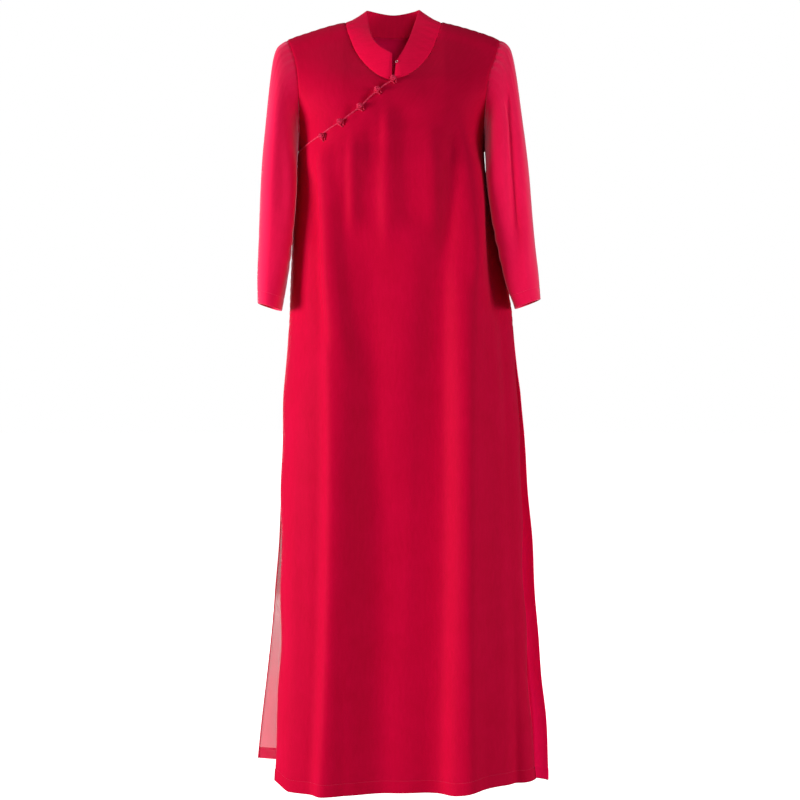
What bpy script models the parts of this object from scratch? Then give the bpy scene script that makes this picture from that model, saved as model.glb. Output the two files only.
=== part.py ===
"""Ao dai tunic, hollow and filled out as it is worn.

Metres, +Z up. The origin lies midway between the two side neck points, where the collar meets the
shoulder seams. The front of the garment faces -Y, and +X is the wearer's left.

Each cut piece is one wall of cloth. Its middle surface is a grid of points on the form of the
garment, read from the tables below, and the wall is half its thickness to each side of that grid.
"""
import math
from collections import namedtuple

import bmesh
import bpy
import numpy as np
from mathutils import Vector

# ---------------------------------------------------------------- driving sizes
CLOTH = 0.0014            # wall of the panels and sleeves
COLLAR_WALL = 0.0020      # the collar is two layers of cloth
SEAM_GAP = 0.0003         # clear space between sewn pieces
HEM_HEIGHT = -1.3300      # lowest line of the front panel
BACK_HEM_LEFT = -1.3265   # the back panel's hem, at its two corners
BACK_HEM_RIGHT = -1.3370
UNDERARM = -0.2270        # height of the armhole's lowest point
SLIT_TOP = -0.5500        # the side seams end here
LAP_LIFT = 0.0026         # how far the diagonal edge stands off the piece under it
LAP_FADE = 0.060          # the lift dies away over this width of the front panel
UNDERLAP = 0.0150         # depth of the piece under the diagonal edge, at its neck end
UNDERLAP_SIDE = 0.0140    # and at the side seam
UNDERLAP_END = 0.0060     # the underlap's low corner, left of centre
CORNER_LIFT = 0.0110      # the front hem turns up at its corner on the wearer's right
CORNER_SHARE = 0.06       # share of the hem's width that turns up
FRONT_END = 0.0015        # the front panel's neckline ends here, right of centre
YOKE_END = -0.0020        # the yoke's neckline ends here, left of centre
NECK_HALF = 0.0840        # half the distance between the side neck points
BACK_FADE = 0.070         # the back's neck form gives way to its shoulder form over this width
FRONT_NECK_SPREAD = 1.4   # the neckline's points lie closer together near the shoulder
BACK_NECK_ROUND = 1.3     # how full the dip of the back neckline is
EDGE_HOLD = 10            # folds leave a panel's side edges straight: the higher, the narrower
SHARP_ANGLE = math.radians(50)

# ---------------------------------------------------------------- grid sizes
FRONT_COLUMNS = 28
BACK_SHOULDER_COLUMNS = 6
BACK_NECK_COLUMNS = 10
YOKE_COLUMNS = 11
NECK_ROWS = 6             # rows of the front panel along its neckline
DIAGONAL_ROWS = 8         # and along its diagonal edge
FRONT_SKIRT_ROWS = 19
ARMHOLE_ROWS = 11         # rows of the back panel and the yoke along the armhole
YOKE_NECK_ROWS = 8
YOKE_LAP_ROWS = 2
BACK_SKIRT_ROWS = 17
COLLAR_ROWS = 3

# ---------------------------------------------------------------- form of the body of the garment
# The shoulder line falls away from the neck: its height at each distance from the centre.
Shoulder = namedtuple("Shoulder", "across height")
SHOULDER = [
    Shoulder(0.0000, 0.0000), Shoulder(0.0840, 0.0000), Shoulder(0.0980, -0.0025),
    Shoulder(0.1275, -0.0100), Shoulder(0.1500, -0.0170), Shoulder(0.1700, -0.0240),
    Shoulder(0.1900, -0.0330),
]

# Depth of the garment in front of and behind the seam plane, by the drop below the shoulder line.
Depth = namedtuple("Depth", "drop front back_neck back_tip")
DEPTHS = [
    Depth(0.0000, 0.0000, 0.0000, 0.0000), Depth(0.0025, 0.0085, 0.0180, 0.0090),
    Depth(0.0100, 0.0165, 0.0390, 0.0185), Depth(0.0200, 0.0235, 0.0520, 0.0270),
    Depth(0.0360, 0.0320, 0.0620, 0.0390), Depth(0.0580, 0.0460, 0.0690, 0.0510),
    Depth(0.0820, 0.0620, 0.0740, 0.0600), Depth(0.1210, 0.0870, 0.0800, 0.0710),
    Depth(0.1700, 0.1060, 0.0840, 0.0790), Depth(0.2270, 0.1190, 0.0870, 0.0860),
    Depth(0.2700, 0.1240, 0.0880, 0.0880), Depth(0.3600, 0.1180, 0.0810, 0.0810),
    Depth(0.4200, 0.1120, 0.0770, 0.0770), Depth(0.5200, 0.1120, 0.0880, 0.0880),
    Depth(0.6200, 0.1100, 0.1000, 0.1000), Depth(0.7500, 0.1060, 0.1070, 0.1070),
    Depth(0.9500, 0.1020, 0.1140, 0.1140), Depth(1.1500, 0.0980, 0.1200, 0.1200),
    Depth(1.3500, 0.0940, 0.1260, 0.1260),
]

# Side lines of the body. Above the underarm they are the ends of a wider form, which the armholes
# cut. wrap is 1 where a section turns in fully to the side, and square sets how full its corners are.
Section = namedtuple("Section", "height left left_y right right_y wrap square")
BODY = [
    Section(0.0000, -0.5600, 0.0, 0.5500, 0.0, 0.985, 2.5),
    Section(-0.0300, -0.4200, 0.0, 0.4200, 0.0, 0.985, 2.5),
    Section(-0.0800, -0.2800, 0.0, 0.2700, 0.0, 0.985, 2.5),
    Section(-0.1300, -0.2070, 0.0, 0.2000, 0.0, 0.985, 2.5),
    Section(-0.1850, -0.1710, 0.0, 0.1650, 0.0, 0.985, 2.5),
    Section(-0.2270, -0.1663, 0.0, 0.1600, 0.0, 0.985, 2.5),
    Section(-0.2830, -0.1700, 0.0, 0.1620, 0.0, 0.985, 2.5),
    Section(-0.3340, -0.1733, 0.0, 0.1720, 0.0, 0.985, 2.5),
    Section(-0.3850, -0.1772, 0.0, 0.1825, 0.0, 0.985, 2.5),
    Section(-0.4365, -0.1803, 0.0, 0.1950, 0.0, 0.985, 2.5),
    Section(-0.4770, -0.1822, 0.0, 0.2025, 0.0, 0.985, 2.5),
    Section(-0.5100, -0.1832, 0.0, 0.2085, 0.0, 0.980, 2.5),
    Section(SLIT_TOP, -0.1850, 0.0, 0.2115, 0.0, 0.975, 2.5),
]
FRONT_BODY = BODY + [
    Section(-0.6100, -0.1890, -0.004, 0.2145, -0.003, 0.965, 2.6),
    Section(-0.6560, -0.1920, -0.005, 0.2172, -0.004, 0.960, 2.7),
    Section(-0.8000, -0.1958, -0.005, 0.2238, -0.005, 0.950, 2.8),
    Section(-0.9740, -0.1962, -0.005, 0.2276, -0.005, 0.940, 2.8),
    Section(-1.0850, -0.1970, -0.006, 0.2340, -0.006, 0.930, 2.9),
    Section(-1.1780, -0.2015, -0.005, 0.2370, -0.005, 0.925, 2.9),
    Section(-1.2400, -0.2050, -0.004, 0.2435, -0.005, 0.920, 3.0),
    Section(-1.3400, -0.2070, -0.004, 0.2525, -0.004, 0.915, 3.0),
]
BACK_BODY = BODY + [
    Section(-0.6100, -0.1892, 0.006, 0.2178, 0.003, 0.965, 2.5),
    Section(-0.6560, -0.1925, 0.018, 0.2250, 0.005, 0.955, 2.6),
    Section(-0.7630, -0.1975, 0.048, 0.2327, 0.009, 0.940, 2.6),
    Section(-0.8930, -0.2065, 0.076, 0.2434, 0.012, 0.925, 2.6),
    Section(-1.0660, -0.2215, 0.100, 0.2541, 0.015, 0.905, 2.6),
    Section(-1.1520, -0.2310, 0.110, 0.2612, 0.017, 0.895, 2.6),
    Section(-1.2400, -0.2420, 0.121, 0.2700, 0.019, 0.890, 2.6),
    Section(-1.3400, -0.2530, 0.131, 0.2750, 0.021, 0.885, 2.6),
]

# Armholes as seen from the front: each row is one height.
Armhole = namedtuple("Armhole", "height left right")
ARMHOLES = [
    Armhole(-0.0315, -0.1868, 0.1868), Armhole(-0.0500, -0.1790, 0.1815),
    Armhole(-0.0750, -0.1710, 0.1740), Armhole(-0.1000, -0.1665, 0.1655),
    Armhole(-0.1400, -0.1640, 0.1600), Armhole(-0.1850, -0.1640, 0.1585),
    Armhole(UNDERARM, -0.1663, 0.1600),
]

# Front neckline, from the side neck point to the centre, and the dip of the back neckline.
Neck = namedtuple("Neck", "height across")
FRONT_NECK = [
    Neck(0.0000, 0.0840), Neck(-0.0180, 0.0805), Neck(-0.0360, 0.0745), Neck(-0.0580, 0.0665),
    Neck(-0.0790, 0.0550), Neck(-0.1030, 0.0350), Neck(-0.1160, 0.0160), Neck(-0.1210, 0.0),
]
BACK_NECK_DIP = 0.0155

# The diagonal edge, from the collar's front to the wearer's right side.
Edge = namedtuple("Edge", "across height")
DIAGONAL = [
    Edge(FRONT_END, -0.1215), Edge(-0.0270, -0.1430), Edge(-0.0550, -0.1710), Edge(-0.0870, -0.1950),
    Edge(-0.1170, -0.2120), Edge(-0.1500, -0.2275), Edge(-0.1663, -0.2345),
]

# ---------------------------------------------------------------- folds
# A fold is a long soft ridge (lift above 0) or trough (below 0) down a panel. Its line passes
# through the top, middle and low places given, and it fades in and out over fade.
Fold = namedtuple("Fold", "top_height low_height top_across mid_across low_across half_width lift fade")
BELOW_HEM = -1.60
FRONT_FOLDS = [
    Fold(-0.185, BELOW_HEM, -0.114, -0.103, -0.114, 0.022, 0.0095, 0.10),
    Fold(-0.235, -0.420, -0.146, -0.144, -0.142, 0.011, -0.0035, 0.06),
    Fold(-0.250, -0.640, -0.088, -0.082, -0.068, 0.013, -0.0040, 0.09),
    Fold(-0.195, -0.400, -0.061, -0.060, -0.061, 0.009, 0.0035, 0.06),
    Fold(-0.180, -0.400, -0.040, -0.038, -0.036, 0.009, -0.0030, 0.06),
    Fold(-0.145, -0.430, -0.008, -0.006, -0.006, 0.012, 0.0045, 0.07),
    Fold(-0.140, -0.400, 0.021, 0.021, 0.023, 0.010, -0.0035, 0.06),
    Fold(-0.175, -0.410, 0.058, 0.058, 0.055, 0.013, 0.0050, 0.07),
    Fold(-0.180, -0.450, 0.094, 0.092, 0.083, 0.012, -0.0070, 0.08),
    Fold(-0.200, BELOW_HEM, 0.123, 0.113, 0.158, 0.022, 0.0100, 0.09),
    Fold(-0.300, -0.560, 0.158, 0.166, 0.176, 0.011, -0.0030, 0.08),
    Fold(-0.560, BELOW_HEM, -0.062, -0.058, -0.056, 0.024, -0.0045, 0.16),
    Fold(-0.700, BELOW_HEM, 0.000, -0.004, -0.010, 0.020, 0.0025, 0.20),
    Fold(-0.420, BELOW_HEM, 0.046, 0.048, 0.056, 0.022, -0.0050, 0.14),
    Fold(-0.620, BELOW_HEM, 0.170, 0.182, 0.206, 0.017, -0.0080, 0.16),
]
BACK_FOLDS = [
    Fold(-0.110, -0.420, -0.098, -0.100, -0.106, 0.016, 0.0040, 0.09),
    Fold(-0.120, -0.430, 0.030, 0.026, 0.020, 0.017, -0.0030, 0.10),
    Fold(-0.130, -0.440, 0.096, 0.100, 0.108, 0.016, 0.0040, 0.09),
    Fold(-0.360, BELOW_HEM, -0.142, -0.150, -0.168, 0.019, 0.0075, 0.16),
    Fold(-0.480, BELOW_HEM, -0.092, -0.100, -0.112, 0.020, -0.0070, 0.17),
    Fold(-0.440, BELOW_HEM, -0.036, -0.040, -0.048, 0.021, 0.0070, 0.16),
    Fold(-0.580, BELOW_HEM, 0.020, 0.020, 0.024, 0.020, -0.0060, 0.17),
    Fold(-0.420, BELOW_HEM, 0.074, 0.080, 0.094, 0.020, 0.0080, 0.16),
    Fold(-0.520, BELOW_HEM, 0.130, 0.140, 0.160, 0.018, -0.0075, 0.16),
    Fold(-0.600, BELOW_HEM, 0.176, 0.190, 0.222, 0.016, 0.0080, 0.16),
]
SLEEVE_FOLDS = [
    Fold(-0.090, -0.430, 0.1830, 0.1880, 0.2060, 0.0080, -0.0040, 0.08),
    Fold(-0.120, -0.500, 0.2060, 0.2140, 0.2260, 0.0085, 0.0030, 0.09),
    Fold(-0.110, -0.400, -0.1950, -0.1960, -0.2010, 0.0100, -0.0025, 0.09),
]

# ---------------------------------------------------------------- sleeves
# Each row is one ring: its outermost and innermost points, and its half depth and centre in Y.
# The first ring is the armhole itself, and the last is the cuff.
Ring = namedtuple("Ring", "out_x out_z in_x in_z half_depth centre_y")
LEFT_SLEEVE = [
    Ring(-0.1868, -0.0315, -0.1663, -0.2270, 0.0560, 0.006),
    Ring(-0.1959, -0.0371, -0.1700, -0.2268, 0.0575, 0.005),
    Ring(-0.2047, -0.0458, -0.1712, -0.2290, 0.0585, 0.003),
    Ring(-0.2103, -0.0660, -0.1712, -0.2340, 0.0590, -0.002),
    Ring(-0.2137, -0.0933, -0.1706, -0.2430, 0.0590, -0.009),
    Ring(-0.2179, -0.1359, -0.1704, -0.2560, 0.0590, -0.017),
    Ring(-0.2223, -0.1854, -0.1711, -0.2740, 0.0585, -0.023),
    Ring(-0.2268, -0.2394, -0.1722, -0.3000, 0.0575, -0.027),
    Ring(-0.2300, -0.2948, -0.1743, -0.3370, 0.0560, -0.030),
    Ring(-0.2324, -0.3490, -0.1777, -0.3800, 0.0540, -0.031),
    Ring(-0.2342, -0.4032, -0.1820, -0.4250, 0.0520, -0.033),
    Ring(-0.2354, -0.4525, -0.1866, -0.4680, 0.0500, -0.035),
    Ring(-0.2344, -0.4959, -0.1935, -0.5080, 0.0485, -0.037),
]
RIGHT_SLEEVE = [
    Ring(0.1868, -0.0315, 0.1600, -0.2270, 0.0560, 0.006),
    Ring(0.1949, -0.0353, 0.1636, -0.2268, 0.0575, 0.005),
    Ring(0.2033, -0.0448, 0.1652, -0.2290, 0.0585, 0.003),
    Ring(0.2088, -0.0640, 0.1654, -0.2345, 0.0590, -0.002),
    Ring(0.2128, -0.0884, 0.1650, -0.2430, 0.0590, -0.009),
    Ring(0.2180, -0.1272, 0.1641, -0.2560, 0.0590, -0.018),
    Ring(0.2236, -0.1766, 0.1638, -0.2740, 0.0585, -0.028),
    Ring(0.2301, -0.2318, 0.1665, -0.3000, 0.0575, -0.034),
    Ring(0.2360, -0.2889, 0.1736, -0.3370, 0.0560, -0.036),
    Ring(0.2406, -0.3447, 0.1828, -0.3800, 0.0540, -0.036),
    Ring(0.2456, -0.3988, 0.1922, -0.4250, 0.0520, -0.038),
    Ring(0.2507, -0.4480, 0.2000, -0.4650, 0.0500, -0.040),
    Ring(0.2537, -0.4894, 0.2100, -0.5050, 0.0485, -0.042),
]
ARMHOLE_BLEND = 7         # rings over which the armhole's own outline dies away

# ---------------------------------------------------------------- collar
# Top edge of the collar, from its left front end round the back to its right front end. along is
# the share of the neckline below.
Top = namedtuple("Top", "along x y z")
COLLAR_TOP = [
    Top(0.000, -0.0022, -0.0715, -0.0725), Top(0.060, -0.0120, -0.0690, -0.0660),
    Top(0.120, -0.0250, -0.0620, -0.0560), Top(0.190, -0.0370, -0.0450, -0.0370),
    Top(0.270, -0.0440, -0.0180, -0.0080), Top(0.340, -0.0475, 0.0080, 0.0225),
    Top(0.420, -0.0390, 0.0350, 0.0290), Top(0.500, 0.0000, 0.0450, 0.0250),
    Top(0.580, 0.0400, 0.0350, 0.0300), Top(0.660, 0.0460, 0.0080, 0.0245),
    Top(0.740, 0.0375, -0.0180, -0.0060), Top(0.820, 0.0280, -0.0420, -0.0380),
    Top(0.900, 0.0175, -0.0600, -0.0630), Top(1.000, 0.0045, -0.0720, -0.0850),
]
COLLAR_BOW = 0.0012       # the band bows out by this much at its middle

# ---------------------------------------------------------------- fastenings
BUTTON_RADIUS = 0.0054
BUTTON_FLATTEN = 0.90     # height of a knot as a share of its width
BUTTON_LOBES = 4
BUTTON_LOBE_DEPTH = 0.07
BUTTON_SIDES = 14
BUTTON_BANDS = 7
REST_GAP = 0.0008         # what lies on a panel is this far above it
PROBE = 0.0040            # half the step over which a panel's slope is taken
EDGE_PROBE = 0.010        # half the step over which the diagonal edge's slope is taken
LOOP_CORD = 0.0011        # radius of the loops' cord
LOOP_RADIUS = 0.0055      # radius of a loop round its knot
LOOP_TAIL = 0.0070        # straight part of a loop, on the front panel
LOOP_OPENING = math.radians(40)
LOOP_POINTS = 13
Knot = namedtuple("Knot", "across below_edge")
KNOTS = [
    Knot(0.0000, 0.0000), Knot(-0.0267, 0.0000), Knot(-0.0552, 0.0008), Knot(-0.0872, 0.0015),
    Knot(-0.1165, 0.0060),
]
HOOK_RING = 0.0021
HOOK_WIRE = 0.0005
HOOK_POINTS = 12
HOOK_FROM_END = 0.12      # place of the hook, in grid cells from the collar's right front end
HOOK_FROM_TOP = 0.45      # and in grid cells below its top edge

# ---------------------------------------------------------------- finishes
Finish = namedtuple("Finish", "colour roughness metallic")
CREPE = Finish((0.50, 0.008, 0.035), 0.72, 0.0)
CREPE_DARK = Finish((0.36, 0.006, 0.028), 0.75, 0.0)
CREPE_LIGHT = Finish((0.62, 0.030, 0.080), 0.70, 0.0)
KNOT_CLOTH = Finish((0.42, 0.006, 0.030), 0.60, 0.0)
HOOK_METAL = Finish((0.78, 0.72, 0.72), 0.35, 1.0)


# ---------------------------------------------------------------- reading the tables
def monotone(knots, values, at):
    """Cubic through the knots that never overshoots them (harmonic mean slopes)."""
    step = np.diff(knots)
    rise = np.diff(values) / step
    same_way = rise[:-1] * rise[1:] > 0
    total = np.where(same_way, rise[:-1] + rise[1:], 1.0)
    inner = np.where(same_way, 2 * rise[:-1] * rise[1:] / total, 0.0)
    slope = np.concatenate([rise[:1], inner, rise[-1:]])
    at = np.clip(at, knots[0], knots[-1])
    cell = np.clip(np.searchsorted(knots, at, side="right") - 1, 0, len(step) - 1)
    t = (at - knots[cell]) / step[cell]
    return (values[cell] * (1 + 2 * t) * (1 - t) ** 2
            + values[cell + 1] * t ** 2 * (3 - 2 * t)
            + step[cell] * t * (1 - t) * (slope[cell] * (1 - t) - slope[cell + 1] * t))


def read(rows, key, name, at):
    """Column name of a table, as a smooth function of column key."""
    knots = np.array([getattr(row, key) for row in rows])
    values = np.array([getattr(row, name) for row in rows])
    order = np.argsort(knots)
    return monotone(knots[order], values[order], np.asarray(at, dtype=float))


def ease(t):
    """Smooth step from 0 to 1."""
    t = np.clip(t, 0.0, 1.0)
    return t * t * (3 - 2 * t)


def even_arc(count):
    """count + 1 shares from 0 to 1, closest together at both ends."""
    return (1 - np.cos(np.pi * np.linspace(0, 1, count + 1))) / 2


def closing_arc(count):
    """count + 1 shares from 0 to 1, closest together at the last end."""
    return np.sin(np.pi / 2 * np.linspace(0, 1, count + 1))


# ---------------------------------------------------------------- the form
def rounding(across, wrap, square):
    """Share of the full depth at a place across a section: 1 in the middle, 0 at the edges."""
    def arc(t):
        return (1 - np.clip(t, 0, 1) ** square) ** (1 / square)
    edge = arc(wrap)
    return (arc(wrap * np.abs(across)) - edge) / (1 - edge)


def depth_at(x, z, side):
    """Depth of the garment's middle at a drop below the shoulder line."""
    drop = np.maximum(read(SHOULDER, "across", "height", np.abs(x)) - z, 0.0)
    rows = [row._replace(drop=math.sqrt(row.drop)) for row in DEPTHS]
    root = np.sqrt(drop)
    if side < 0:
        return read(rows, "drop", "front", root)
    out = ease((np.abs(x) - NECK_HALF) / BACK_FADE)
    return read(rows, "drop", "back_neck", root) * (1 - out) + read(rows, "drop", "back_tip", root) * out


def body_points(x, z, side):
    """Points of the garment's form at places (x, z): the front for side -1, the back for +1."""
    rows = FRONT_BODY if side < 0 else BACK_BODY
    left = read(rows, "height", "left", z)
    right = read(rows, "height", "right", z)
    across = np.clip((2 * x - left - right) / (right - left), -1.0, 1.0)
    full = rounding(across, read(rows, "height", "wrap", z), read(rows, "height", "square", z))
    edge_y = (read(rows, "height", "left_y", z) * (1 - across)
              + read(rows, "height", "right_y", z) * (1 + across)) / 2
    y = edge_y * (1 - full) + side * (depth_at(x, z, side) * full + SEAM_GAP / 2)
    return np.stack([x, y, z], axis=-1)


def fold_lift(folds, x, z):
    """Sum of the folds at (x, z)."""
    total = np.zeros_like(x)
    for fold in folds:
        t = (fold.top_height - z) / (fold.top_height - fold.low_height)
        line = (fold.top_across * (1 - t) * (1 - 2 * t) + fold.mid_across * 4 * t * (1 - t)
                + fold.low_across * t * (2 * t - 1))
        window = ease((fold.top_height - z) / fold.fade) * ease((z - fold.low_height) / fold.fade)
        total += fold.lift * window * np.exp(-0.5 * ((x - line) / fold.half_width) ** 2)
    return total


def edge_window(x, z, side):
    """1 over a panel and 0 at its side edges, so that folds leave the side seams straight."""
    rows = FRONT_BODY if side < 0 else BACK_BODY
    left = read(rows, "height", "left", z)
    right = read(rows, "height", "right", z)
    across = np.clip(np.abs(2 * x - left - right) / (right - left), 0.0, 1.0)
    return 1 - across ** EDGE_HOLD


def diagonal_height(x):
    """Height of the diagonal edge at x."""
    return read(DIAGONAL, "across", "height", x)


def front_lift(x, z):
    """Lift of the front panel: its folds, and near the diagonal edge the even lift of the lap."""
    below = np.maximum(diagonal_height(x) - z, 0.0)
    beside = np.maximum(x - DIAGONAL[0].across, 0.0)
    lap = 1 - ease(np.hypot(below, beside) / LAP_FADE)
    folds = fold_lift(FRONT_FOLDS, x, z) * edge_window(x, z, -1)
    return folds * (1 - lap) + LAP_LIFT * lap


def back_lift(x, z):
    """Lift of the back panel: its folds."""
    return fold_lift(BACK_FOLDS, x, z) * edge_window(x, z, 1)


def front_neck(share):
    """Front neckline from the side neck point (share 0) to the centre (share 1), for x > 0."""
    height = FRONT_NECK[-1].height * share ** FRONT_NECK_SPREAD
    return np.stack([read(FRONT_NECK, "height", "across", height), height], axis=-1)


def coons(top, low, left, right, shares):
    """Grid of plan points between four edges: blends both pairs of edges and takes off the corners.

    shares are the columns' places across, the same for every row or one set for each.
    """
    u = np.broadcast_to(shares, (len(left), len(top)))[..., None]
    v = np.linspace(0, 1, len(left))[:, None, None]
    across = left[:, None] * (1 - u) + right[:, None] * u
    down = top[None] * (1 - v) + low[None] * v
    corners = ((top[0] * (1 - u) + top[-1] * u) * (1 - v) + (low[0] * (1 - u) + low[-1] * u) * v)
    return across + down - corners


def line(start, end, shares):
    """Points on a straight line at the given shares."""
    return np.outer(1 - shares, start) + np.outer(shares, end)


def armhole(side_name, rows):
    """Armhole edge in (x, z) from the shoulder tip to the underarm."""
    height = ARMHOLES[0].height + (UNDERARM - ARMHOLES[0].height) * even_arc(rows)
    return np.stack([read(ARMHOLES, "height", side_name, height), height], axis=-1)


def side_line(body, side_name, start, end, rows):
    """Side edge in (x, z) from one height to another."""
    height = np.linspace(start, end, rows + 1)
    return np.stack([read(body, "height", side_name, height), height], axis=-1)


# ---------------------------------------------------------------- surfaces to walls
def grid_normals(grid, toward, ring=False):
    """Unit normals of a grid of points, turned to face the given way."""
    if ring:
        along = np.roll(grid, -1, axis=1) - np.roll(grid, 1, axis=1)
    else:
        along = np.gradient(grid, axis=1)
    normal = np.cross(along, np.gradient(grid, axis=0))
    normal /= np.linalg.norm(normal, axis=-1, keepdims=True)
    facing = np.sign(np.sum(normal * toward))
    return normal * facing


def flatten_to_seam(normals, where):
    """Turn the normals at a seam into the seam's plane (Y constant), so both rims are flat there."""
    flat = normals[where].copy()
    flat[..., 1] = 0.0
    normals[where] = flat / np.linalg.norm(flat, axis=-1, keepdims=True)
    return normals


def add_wall(name, grid, normals, thickness, finish, ring=False):
    """Closed wall: the grid moved half the thickness to each side, joined by rims at its edges."""
    mesh = bmesh.new()
    rows, columns = grid.shape[:2]
    outer = [[mesh.verts.new(p) for p in row] for row in grid + normals * thickness / 2]
    inner = [[mesh.verts.new(p) for p in row] for row in grid - normals * thickness / 2]
    steps = columns if ring else columns - 1
    for r in range(rows - 1):
        for c in range(steps):
            d = (c + 1) % columns
            mesh.faces.new((outer[r][c], outer[r][d], outer[r + 1][d], outer[r + 1][c]))
            mesh.faces.new((inner[r][c], inner[r + 1][c], inner[r + 1][d], inner[r][d]))
    for c in range(steps):
        d = (c + 1) % columns
        mesh.faces.new((outer[0][d], outer[0][c], inner[0][c], inner[0][d]))
        mesh.faces.new((outer[-1][c], outer[-1][d], inner[-1][d], inner[-1][c]))
    if not ring:
        for r in range(rows - 1):
            mesh.faces.new((outer[r][0], outer[r + 1][0], inner[r + 1][0], inner[r][0]))
            mesh.faces.new((outer[r + 1][-1], outer[r][-1], inner[r][-1], inner[r + 1][-1]))
    return add_object(name, mesh, finish)


def add_object(name, mesh, finish):
    """Object of a closed bmesh, with its faces turned out, smooth shading and its own material."""
    bmesh.ops.recalc_face_normals(mesh, faces=mesh.faces[:])
    data = bpy.data.meshes.new(name)
    mesh.to_mesh(data)
    mesh.free()
    data.shade_smooth()
    data.set_sharp_from_angle(angle=SHARP_ANGLE)
    item = bpy.data.objects.new(name, data)
    bpy.context.scene.collection.objects.link(item)
    data.materials.append(add_material(name, finish))
    return item


def add_material(name, finish):
    """Principled material of one piece."""
    material = bpy.data.materials.new(name + "_finish")
    material.use_nodes = True
    shader = material.node_tree.nodes["Principled BSDF"]
    shader.inputs["Base Color"].default_value = (*finish.colour, 1.0)
    shader.inputs["Roughness"].default_value = finish.roughness
    shader.inputs["Metallic"].default_value = finish.metallic
    return material


def raised(plan, side, lift):
    """Panel grid over a plan grid of (x, z): the form, moved out by its lift."""
    x = plan[..., 0]
    z = plan[..., 1]
    grid = body_points(x, z, side)
    normals = grid_normals(grid, np.array([0.0, side, 0.0]))
    return grid + normals * lift(x, z)[..., None]


# ---------------------------------------------------------------- the panels
def front_grid():
    """Front panel: from the wearer's left shoulder, neckline and diagonal edge to the hem."""
    upper_rows = NECK_ROWS + DIAGONAL_ROWS
    shares = even_arc(FRONT_COLUMNS)
    neck = front_neck(np.linspace(0, 1, NECK_ROWS + 1))
    neck[-1] = (DIAGONAL[0].across, DIAGONAL[0].height)
    diagonal_width = DIAGONAL[-1].across - DIAGONAL[0].across
    edge_x = DIAGONAL[0].across + diagonal_width * closing_arc(DIAGONAL_ROWS)[1:]
    edge = np.stack([edge_x, diagonal_height(edge_x)], axis=-1)
    left = np.concatenate([neck, edge])
    right = armhole("right", upper_rows)
    down = np.linspace(0, 1, upper_rows + 1)[:, None]
    upper_shares = closing_arc(FRONT_COLUMNS) * (1 - down) + shares * down
    shoulder_x = NECK_HALF + (right[0, 0] - NECK_HALF) * upper_shares[0]
    top = np.stack([shoulder_x, read(SHOULDER, "across", "height", shoulder_x)], axis=-1)
    top[0] = left[0]
    top[-1] = right[0]
    waist = line(left[-1], right[-1], shares)
    upper = coons(top, waist, left, right, upper_shares)

    left_corner = HEM_HEIGHT + CORNER_LIFT
    left = side_line(FRONT_BODY, "left", DIAGONAL[-1].height, left_corner, FRONT_SKIRT_ROWS)
    right = side_line(FRONT_BODY, "right", UNDERARM, HEM_HEIGHT, FRONT_SKIRT_ROWS)
    hem = line(left[-1], right[-1], shares)
    hem[:, 1] = HEM_HEIGHT + CORNER_LIFT * (1 - ease(shares / CORNER_SHARE))
    lower = coons(waist, hem, left, right, shares)
    return raised(np.concatenate([upper, lower[1:]]), -1, front_lift)


def yoke_grid():
    """Wearer's right upper front, from shoulder and neckline to the underlap."""
    rows = ARMHOLE_ROWS + YOKE_LAP_ROWS
    shares = 1 - closing_arc(YOKE_COLUMNS)[::-1]
    low_corner = DIAGONAL[-1].height - UNDERLAP_SIDE
    side = side_line(FRONT_BODY, "left", UNDERARM, low_corner, YOKE_LAP_ROWS)
    left = np.concatenate([armhole("left", ARMHOLE_ROWS), side[1:]])
    neck = front_neck(np.linspace(0, 1, YOKE_NECK_ROWS + 1)) * (-1, 1)
    neck[-1, 0] = YOKE_END
    lap_end = np.array([UNDERLAP_END, DIAGONAL[0].height - UNDERLAP])
    end = line(neck[-1], lap_end, np.linspace(0, 1, rows - YOKE_NECK_ROWS + 1))
    right = np.concatenate([neck, end[1:]])
    shoulder_x = left[0, 0] + (right[0, 0] - left[0, 0]) * shares
    top = np.stack([shoulder_x, read(SHOULDER, "across", "height", -shoulder_x)], axis=-1)
    top[0] = left[0]
    top[-1] = right[0]
    low_x = left[-1, 0] + (right[-1, 0] - left[-1, 0]) * shares
    below = left[-1, 1] - DIAGONAL[-1].height + (right[-1, 1] - DIAGONAL[0].height
                                                 - left[-1, 1] + DIAGONAL[-1].height) * shares
    low = np.stack([low_x, diagonal_height(low_x) + below], axis=-1)
    low[-1] = right[-1]
    plan = coons(top, low, left, right, shares)
    return body_points(plan[..., 0], plan[..., 1], -1)


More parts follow.
